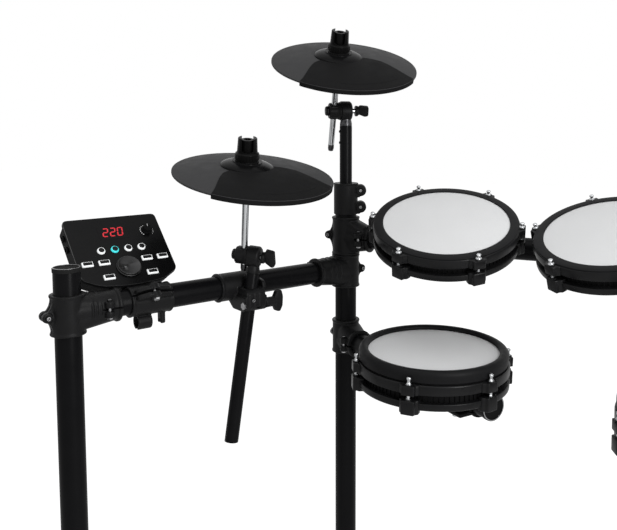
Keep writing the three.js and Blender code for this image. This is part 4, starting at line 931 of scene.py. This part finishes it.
# The hi-hat's clamp turns on the left arm and grips the leaning tube in front of it
grip = {"start": 203, "length": 60, "radius": 22.8, "jawStart": 199, "jawLength": 40, "front": 52, "drop": 35,
        "top": 2, "boltForward": 47, "boltDrop": 24, "along": 219, "aside": 34.2, "lean": radians(9)}
g = grip
middle, half = g["start"] + g["length"] / 2, g["length"] / 2
jawEnd = g["jawStart"] + g["jawLength"]
upper = softened([(0, g["top"], 0), (g["front"] - 6, g["top"]), (g["front"], -4), (g["front"], -13),
                  (0, -13, 0)], 3, True)
lower = softened([(0, -10, 0), (g["front"], -10, 1), (g["front"], -g["drop"] + 6),
                  (g["front"] - 6, -g["drop"]), (10, -g["drop"]), (-6, -g["radius"], 0)], 4, True)
fin = softened([(22, 2), (22, 13), (34, 15), (46, 12), (50, 2)], 3, True)
onBolt = moved(0, g["boltForward"], -g["boltDrop"])
shapes = [
    (lippedSleeve(g["radius"], half, 0.9), moved(middle) @ across),
    (slab(upper, g["jawStart"] + 3, jawEnd - 3), intoPlan),
    (slab(lower, g["jawStart"], jawEnd), intoPlan),
    (slab(fin, g["jawStart"], g["jawStart"] + 6), intoPlan),
    (barOf(8.2, g["jawStart"] - 18, g["jawStart"] + 2, 1.2, 48), onBolt @ across),
]
for i in range(3):    # ledges on the jaw's front
    shapes.append((block((g["jawStart"] + 10 + 9 * i, g["front"] - 3, -g["drop"] + 6),
                         (g["jawStart"] + 14 + 9 * i, g["front"] + 0.8, -6), 0.6), Matrix()))
cutters = [(tubeBore(), moved(middle) @ across),
           (barOf(11.5, -70, 70, 0, 56),
            moved(g["along"], g["aside"]) @ Matrix.Rotation(-g["lean"], 4, "Y")),
           (block((g["jawStart"] - 3, g["aside"], -30), (g["along"], 70, -27.8), 0), Matrix())]
bm = opened(moulded(shapes, cutters, 0.9, 2))
blade = [(0, -7, 2), (3, -16), (11, -18), (16, -9), (17, 7), (14, 18), (5, 17), (0, 7, 2)]
put(bm, slab(softened(blade, 2.6, True), -5, 5, 1.6, 3),
    onBolt @ moved(g["jawStart"] - 14) @ opposite @ backwards)
put(bm, barOf(4.2, g["jawStart"] - 19, jawEnd + 1, 0.4, 28), onBolt @ across, 1)
hexNut(bm, onBolt @ moved(jawEnd - 0.2) @ across, 6.2, 3.4)
socketBolt(bm, moved(g["jawStart"] + 26, g["front"] - 0.4, -16) @ sideways, 3.4, 2.4)
piece("hihatClamp", bm, leftArm, ["casting", "boltMetalAndPaintedHighlight"], "left_arm", "casting")
print("hi-hat clamp made")


# Sound module: face in its XY plane, +Y up the face, +Z out of it
case = {"half": 75, "top": 100.6, "shoulder": -13, "bottom": -32.5, "corner": 8, "lip": 6, "depth": 31,
        "sideDraw": 1.6, "bottomDraw": 7, "along": 398.7, "aside": -23.8, "rise": 48.7, "tilt": radians(43.4)}
moduleAt = axesAt((case["along"], case["aside"], case["rise"]), (-1, 0, 0),
                  (0, sin(case["tilt"]), cos(case["tilt"])))
onModule = leftArm @ moduleAt
rows = {"buttons": 35.7, "buttonPitch": 21.4, "keys": 13.3, "lowKeys": -14}
controls = [(f"round_button_{i + 1}", "round", (i - 1.5) * rows["buttonPitch"], rows["buttons"])
            for i in range(4)]
keys = [(x, rows["keys"]) for x in (-59.3, -33.8, 33.8, 59.3)] + [(x, rows["lowKeys"]) for x in (-34, 34)]
controls += [(f"key_{i + 1}", "key", x, y) for i, (x, y) in enumerate(keys)]


def caseOutline(side, bottom):
    half, top = case["half"] - side, case["top"] - side / 2
    shoulder, low, corner = case["shoulder"] + bottom, case["bottom"] + bottom, case["corner"]
    right = [(half, top, corner), (half, shoulder, 7),
             (half * 0.68, (shoulder + 3 * low) / 4, 12), (half * 0.36, (shoulder + 11 * low) / 12, 12)]
    left = [(-x, y, r) for x, y, r in reversed(right)]
    return softened(right + [(0, low, 14)] + left, 4, True, 8)


def caseBody(grow=0.0, beyond=0.0):
    c = case
    levels = [(-c["depth"] - grow, c["sideDraw"] + 1.6 - grow, c["bottomDraw"] + 1.6 - grow),
              (-c["depth"] + 1.6 - grow, c["sideDraw"] - grow, c["bottomDraw"] - grow),
              (-c["lip"] - 2 - grow, 1.8 - grow, 2.4 - grow), (-c["lip"] - grow, 0.9 - grow, 1.2 - grow),
              (-c["lip"] + 0.5 - grow, -grow, -grow), (-1.1, -grow, -grow), (-0.3, 0.35 - grow, 0.35 - grow),
              (grow, 1.1 - grow, 1.1 - grow)]
    if beyond:
        levels[-2:] = [(beyond, -grow, -grow)]
    return lofted([[(x, y, z) for x, y in caseOutline(side, bottom)] for z, side, bottom in levels])


body = bmesh.new()
put(body, caseBody())
pockets = []
for name, kind, x, y in controls:
    pocket = barOf(6.6, -2.6, 4, 0, 40) if kind == "round" else block((-9.0, -4.8, -2.6), (9.0, 4.8, 4), 0)
    pockets.append((pocket, moved(x, y)))
bm = opened(carved(body, pockets))
for face in bm.faces:
    level = face.calc_center_median().z
    # the rounded rim round the face takes the lighter edge finish, a painted highlight
    face.material_index = 0 if level > -0.2 else 4 if level > -1.05 else 1
glass = softened([(-27, 56), (19, 56), (19, 83), (-27, 83)], 2, True)
put(bm, slab(glass, -0.2, 0.25, 0.15, 1), tint=0)
segments = {"a": ((0, 1), (1, 1)), "b": ((1, 1), (1, 0.5)), "c": ((1, 0.5), (1, 0)), "d": ((0, 0), (1, 0)),
            "e": ((0, 0.5), (0, 0)), "f": ((0, 1), (0, 0.5)), "g": ((0, 0.5), (1, 0.5))}
display = {"wide": 7.4, "tall": 15.2, "left": -20.6, "low": 62.2, "pitch": 11.6, "slant": 0.19, "bar": 1.9}
for i, shown in enumerate(("abged", "abged", "abcdef")):
    for each in shown:
        ends = []
        for u, v in segments[each]:
            y = v * display["tall"]
            x = display["left"] + i * display["pitch"] + u * display["wide"] + y * display["slant"]
            ends.append(Vector((x, display["low"] + y)))
        ahead = ends[1] - ends[0]
        length, b = ahead.length, display["bar"] / 2
        bar = [(0.35, 0), (b, b), (length - b, b), (length - 0.35, 0), (length - b, -b), (b, -b)]
        put(bm, slab(bar, 0.2, 0.42), moved(*ends[0], 0, atan2(ahead.y, ahead.x)), 2)
# dots round the volume knob grow with the volume
dots = {"ring": 10.4, "first": 0.55, "growth": 0.03, "count": 15}
onVolume = moved(51, 66.8)
for i in range(dots["count"]):
    angle = radians(-135 + 270 * i / (dots["count"] - 1)) + pi / 2
    put(bm, barOf(dots["first"] + dots["growth"] * i, -0.1, 0.12, 0.03, 12),
        onVolume @ moved(dots["ring"] * cos(angle), dots["ring"] * sin(angle)), 3)
socket = [(0, 0), (5.4, 0), (5.4, 2.6, 0.6), (3.2, 2.6, 0.4), (3.2, -1), (0, -1)]
for y in (78, 56):    # sockets on the side wall
    put(bm, lathed(socket, 0.2, 32), moved(-74.1, y, -16) @ Matrix.Rotation(-pi / 2, 4, "Y"), 1)
piece("moduleCase", bm, onModule, ["caseFace", "caseSide", "redLamp", "whitePaint", "caseEdgeHighlight"], "module",
      "case_gloss", 30, True)

for name, kind, x, y in controls:
    bm = bmesh.new()
    if kind == "round":
        put(bm, lathed([(0, -1.2), (6.15, -1.2, 0.3), (6.15, 0.6, 0.5), (5.2, 2.6, 0.5), (0, 2.6)], 0.3, 48))
        put(bm, lathed([(0, 2.2), (4.5, 2.2), (4.5, 2.8, 0.3), (3.4, 2.95), (0, 2.7)], 0.3, 48), tint=1)
    else:
        rings = []
        for z, inset in ((-1.2, 0), (0.7, 0), (2.5, 0.8)):
            wide, tall = 8.5 - inset, 4.3 - inset * 0.9
            rings.append([(-wide, -tall, z), (wide, -tall, z), (wide, tall, z), (-wide, tall, z)])
        shape = lofted(rings)
        bmesh.ops.bevel(shape, geom=shape.edges[:], offset=0.5, offset_type="OFFSET", affect="EDGES",
                        segments=2, profile=0.5, material=-1, clamp_overlap=True)
        put(bm, shape, tint=0)
        put(bm, block((-6.9, -2.7, 2.2), (6.9, 2.9, 2.9), 0.35), tint=1)
    lamp = "cyanLamp" if name == "round_button_2" else "whiteLamp"
    piece(f"module_{name}", bm, onModule @ moved(x, y), [lamp, "casting"], name, "lit_plastic")

dial = {"radius": 19, "rise": 5.6, "dimple": 7.2, "dimpleAt": (-7.5, -5), "dimpleAbove": 4.6}
rim = [(0, 0.3), (dial["radius"], 0.3, 0.4), (dial["radius"], 2.2, 0.5), (dial["radius"] - 1, 2.8, 0.4),
       (dial["radius"] - 1.2, dial["rise"] - 0.5, 0.5), (dial["radius"] - 1.9, dial["rise"], 0.3)]
top = [(r, dial["rise"] - 1.1 + 1.0 * (r / 16.6) ** 2, 0) for r in (16.6, 14, 11, 8, 5, 2.5)]
knob = bmesh.new()
put(knob, lathed(rim + top + [(0, dial["rise"] - 1.15, 0)], 0.4, 96))
dimple = bmesh.new()
bmesh.ops.create_uvsphere(dimple, u_segments=40, v_segments=24, radius=dial["dimple"])
bm = opened(carved(knob, [(dimple, moved(*dial["dimpleAt"], dial["rise"] + dial["dimpleAbove"]))]))
piece("moduleDial", bm, onModule, ["dialSpun"], "dial", "case_gloss", 26)

bm = bmesh.new()
put(bm, lathed([(0, 0.3), (7.5, 0.3), (7.5, 1.4, 0.4), (6.9, 1.9, 0.4), (6.5, 8.4, 0.8), (5.4, 8.9, 0.4),
                (0, 8.5)], 0.3, 64))
for turn in around(18):
    put(bm, barOf(0.5, 2, 8, 0.2, 8), turn @ moved(6.75))
put(bm, block((-0.5, 2.6, 8.2), (0.5, 6.2, 9.0), 0.2), tint=1)
piece("moduleVolume", bm, onModule @ onVolume, ["caseSide", "whitePaint"], "volume", "case_gloss")
print("module made")


# The module's bracket: a split sleeve with jaws, a neck up to the case and a hook for cables
jaw = {"start": 346, "length": 66, "radius": 22.8, "neck": 24, "back": 46, "drop": 6, "reach": 38,
       "lean": radians(34), "boltOut": 30.8, "hook": 9, "wall": 3, "mouth": 8, "under": 23.6,
       "plateLow": 1.8, "plateHigh": 8.5, "boss": 8, "bossHigh": 11.5}
b = jaw
middle, half = b["start"] + b["length"] / 2, b["length"] / 2
lean = Matrix.Rotation(b["lean"], 4, "X")
jawPlate = softened([(middle - 30, 8, 0), (middle - 30, 25), (middle - 10, 31), (middle + 8, b["reach"]),
                     (middle + 27, 30), (middle + 30, 8, 0)], 4, True)
hookDrop = -b["under"] - b["hook"]
onJaw = lean @ moved(middle, b["boltOut"])
shapes = [
    (lippedSleeve(b["radius"], half, 0.8), moved(middle) @ across),
    (block((middle - b["neck"], -b["back"], -b["drop"]), (middle + b["neck"], -4, case["rise"]), 3),
     Matrix()),
    (slab(jawPlate, b["plateLow"], b["plateHigh"], 1.4), lean),
    (slab(jawPlate, -b["plateHigh"], -b["plateLow"], 1.4), lean),
    (barOf(b["boss"], b["plateLow"], b["bossHigh"], 1.2, 40), onJaw),
    (barOf(b["boss"], -b["bossHigh"], -b["plateLow"], 1.2, 40), onJaw),
    (ringOf(b["hook"] + b["wall"], b["hook"], -11, 11, 1, 48), moved(middle + 9, 0, hookDrop) @ across),
    (block((middle - 25, -7, -40), (middle - 17, 7, -20), 2), Matrix()),
]
cutters = [(tubeBore(), moved(middle) @ across),
           (block((b["start"] - 9, 9, -b["plateLow"]),
                  (b["start"] + b["length"] + 9, 60, b["plateLow"]), 0), lean),
           (block((middle - 40, -b["mouth"] / 2, -60), (middle + 40, b["mouth"] / 2, hookDrop), 0),
            Matrix()),
           (caseBody(0.5, 40), moduleAt)]
bm = opened(moulded(shapes, cutters, 0.9, 2))
through(bm, onJaw, 11.2, (2.6, 11, 0.2), (4, 3.4), (4.8, 3.2))
piece("moduleBracket", bm, leftArm, ["casting", "boltMetalAndPaintedHighlight"], "module", "casting")
print("bracket made")


# Plain pale floor and soft light
def stageFloor():
    bm = bmesh.new()
    bmesh.ops.create_grid(bm, x_segments=8, y_segments=8, size=9)
    mesh = meshFrom(bm, "floor")
    material = grained("pale floor", (0.9, 0.9, 0.9), 0.9, 40, 0.05, sockets={
        "Emission Color": (1, 1, 1, 1), **shining(0.0)})
    tree = material.node_tree
    seen = addNode(tree, "LightPath").outputs["Is Camera Ray"]
    shine = addNode(tree, "MapRange", {"To Max": 0.5}, {"Value": seen})
    tree.links.new(shine.outputs["Result"], tree.nodes["Principled BSDF"].inputs["Emission Strength"])
    mesh.materials.append(material)
    linked("floor", mesh)


def softbox(name, place, aim, wide, tall, watts):
    light = bpy.data.lights.new(name, "AREA")
    light.shape, light.size, light.size_y, light.energy = "RECTANGLE", wide, tall, watts
    holder = linked(name, light)
    holder.location = place
    holder.rotation_euler = (Vector(aim) - Vector(place)).to_track_quat("-Z", "Y").to_euler()


stageFloor()
world = bpy.data.worlds.new("white studio")
bpy.context.scene.world = world
world.use_nodes = True
# rays from the camera, mirrored ones and those passing through see a brighter world than the rest
path = addNode(world.node_tree, "LightPath").outputs
seen = addNode(world.node_tree, "Math", {}, {0: path["Is Camera Ray"], 1: path["Is Glossy Ray"]},
               operation="ADD").outputs["Value"]
seenAll = addNode(world.node_tree, "Math", {}, {0: seen, 1: path["Is Transmission Ray"]}, operation="ADD",
                  use_clamp=True).outputs["Value"]
level = addNode(world.node_tree, "MapRange", {"To Min": 0.6, "To Max": 1.0}, {"Value": seenAll})
background = world.node_tree.nodes["Background"].inputs
background["Color"].default_value = (1, 1, 1, 1)
world.node_tree.links.new(level.outputs["Result"], background["Strength"])
softbox("key", place=(1.5, -1.1, 1.35), aim=(0.0, -0.25, 0.85), wide=0.5, tall=1.4, watts=24)
softbox("top", place=(0.35, -0.6, 2.5), aim=(0.3, -0.3, 0.6), wide=1.6, tall=1.2, watts=7)

view = {"lens": 47.44, "place": (0.5858, -1.3449, 1.0628), "heading": radians(20.74),
        "pitch": radians(84.58), "roll": radians(0.3), "shift": (-0.1246, -0.1394)}
camera = bpy.data.cameras.new("camera")
camera.lens, camera.sensor_width, camera.sensor_fit = view["lens"], 36, "HORIZONTAL"
camera.shift_x, camera.shift_y = view["shift"]
viewer = linked("camera", camera)
viewer.location = view["place"]
heading, roll = [Matrix.Rotation(view[each], 3, "Z") for each in ("heading", "roll")]
viewer.rotation_euler = (heading @ Matrix.Rotation(view["pitch"], 3, "X") @ roll).to_euler()
bpy.context.scene.camera = viewer
bpy.context.scene.view_settings.view_transform = "Standard"
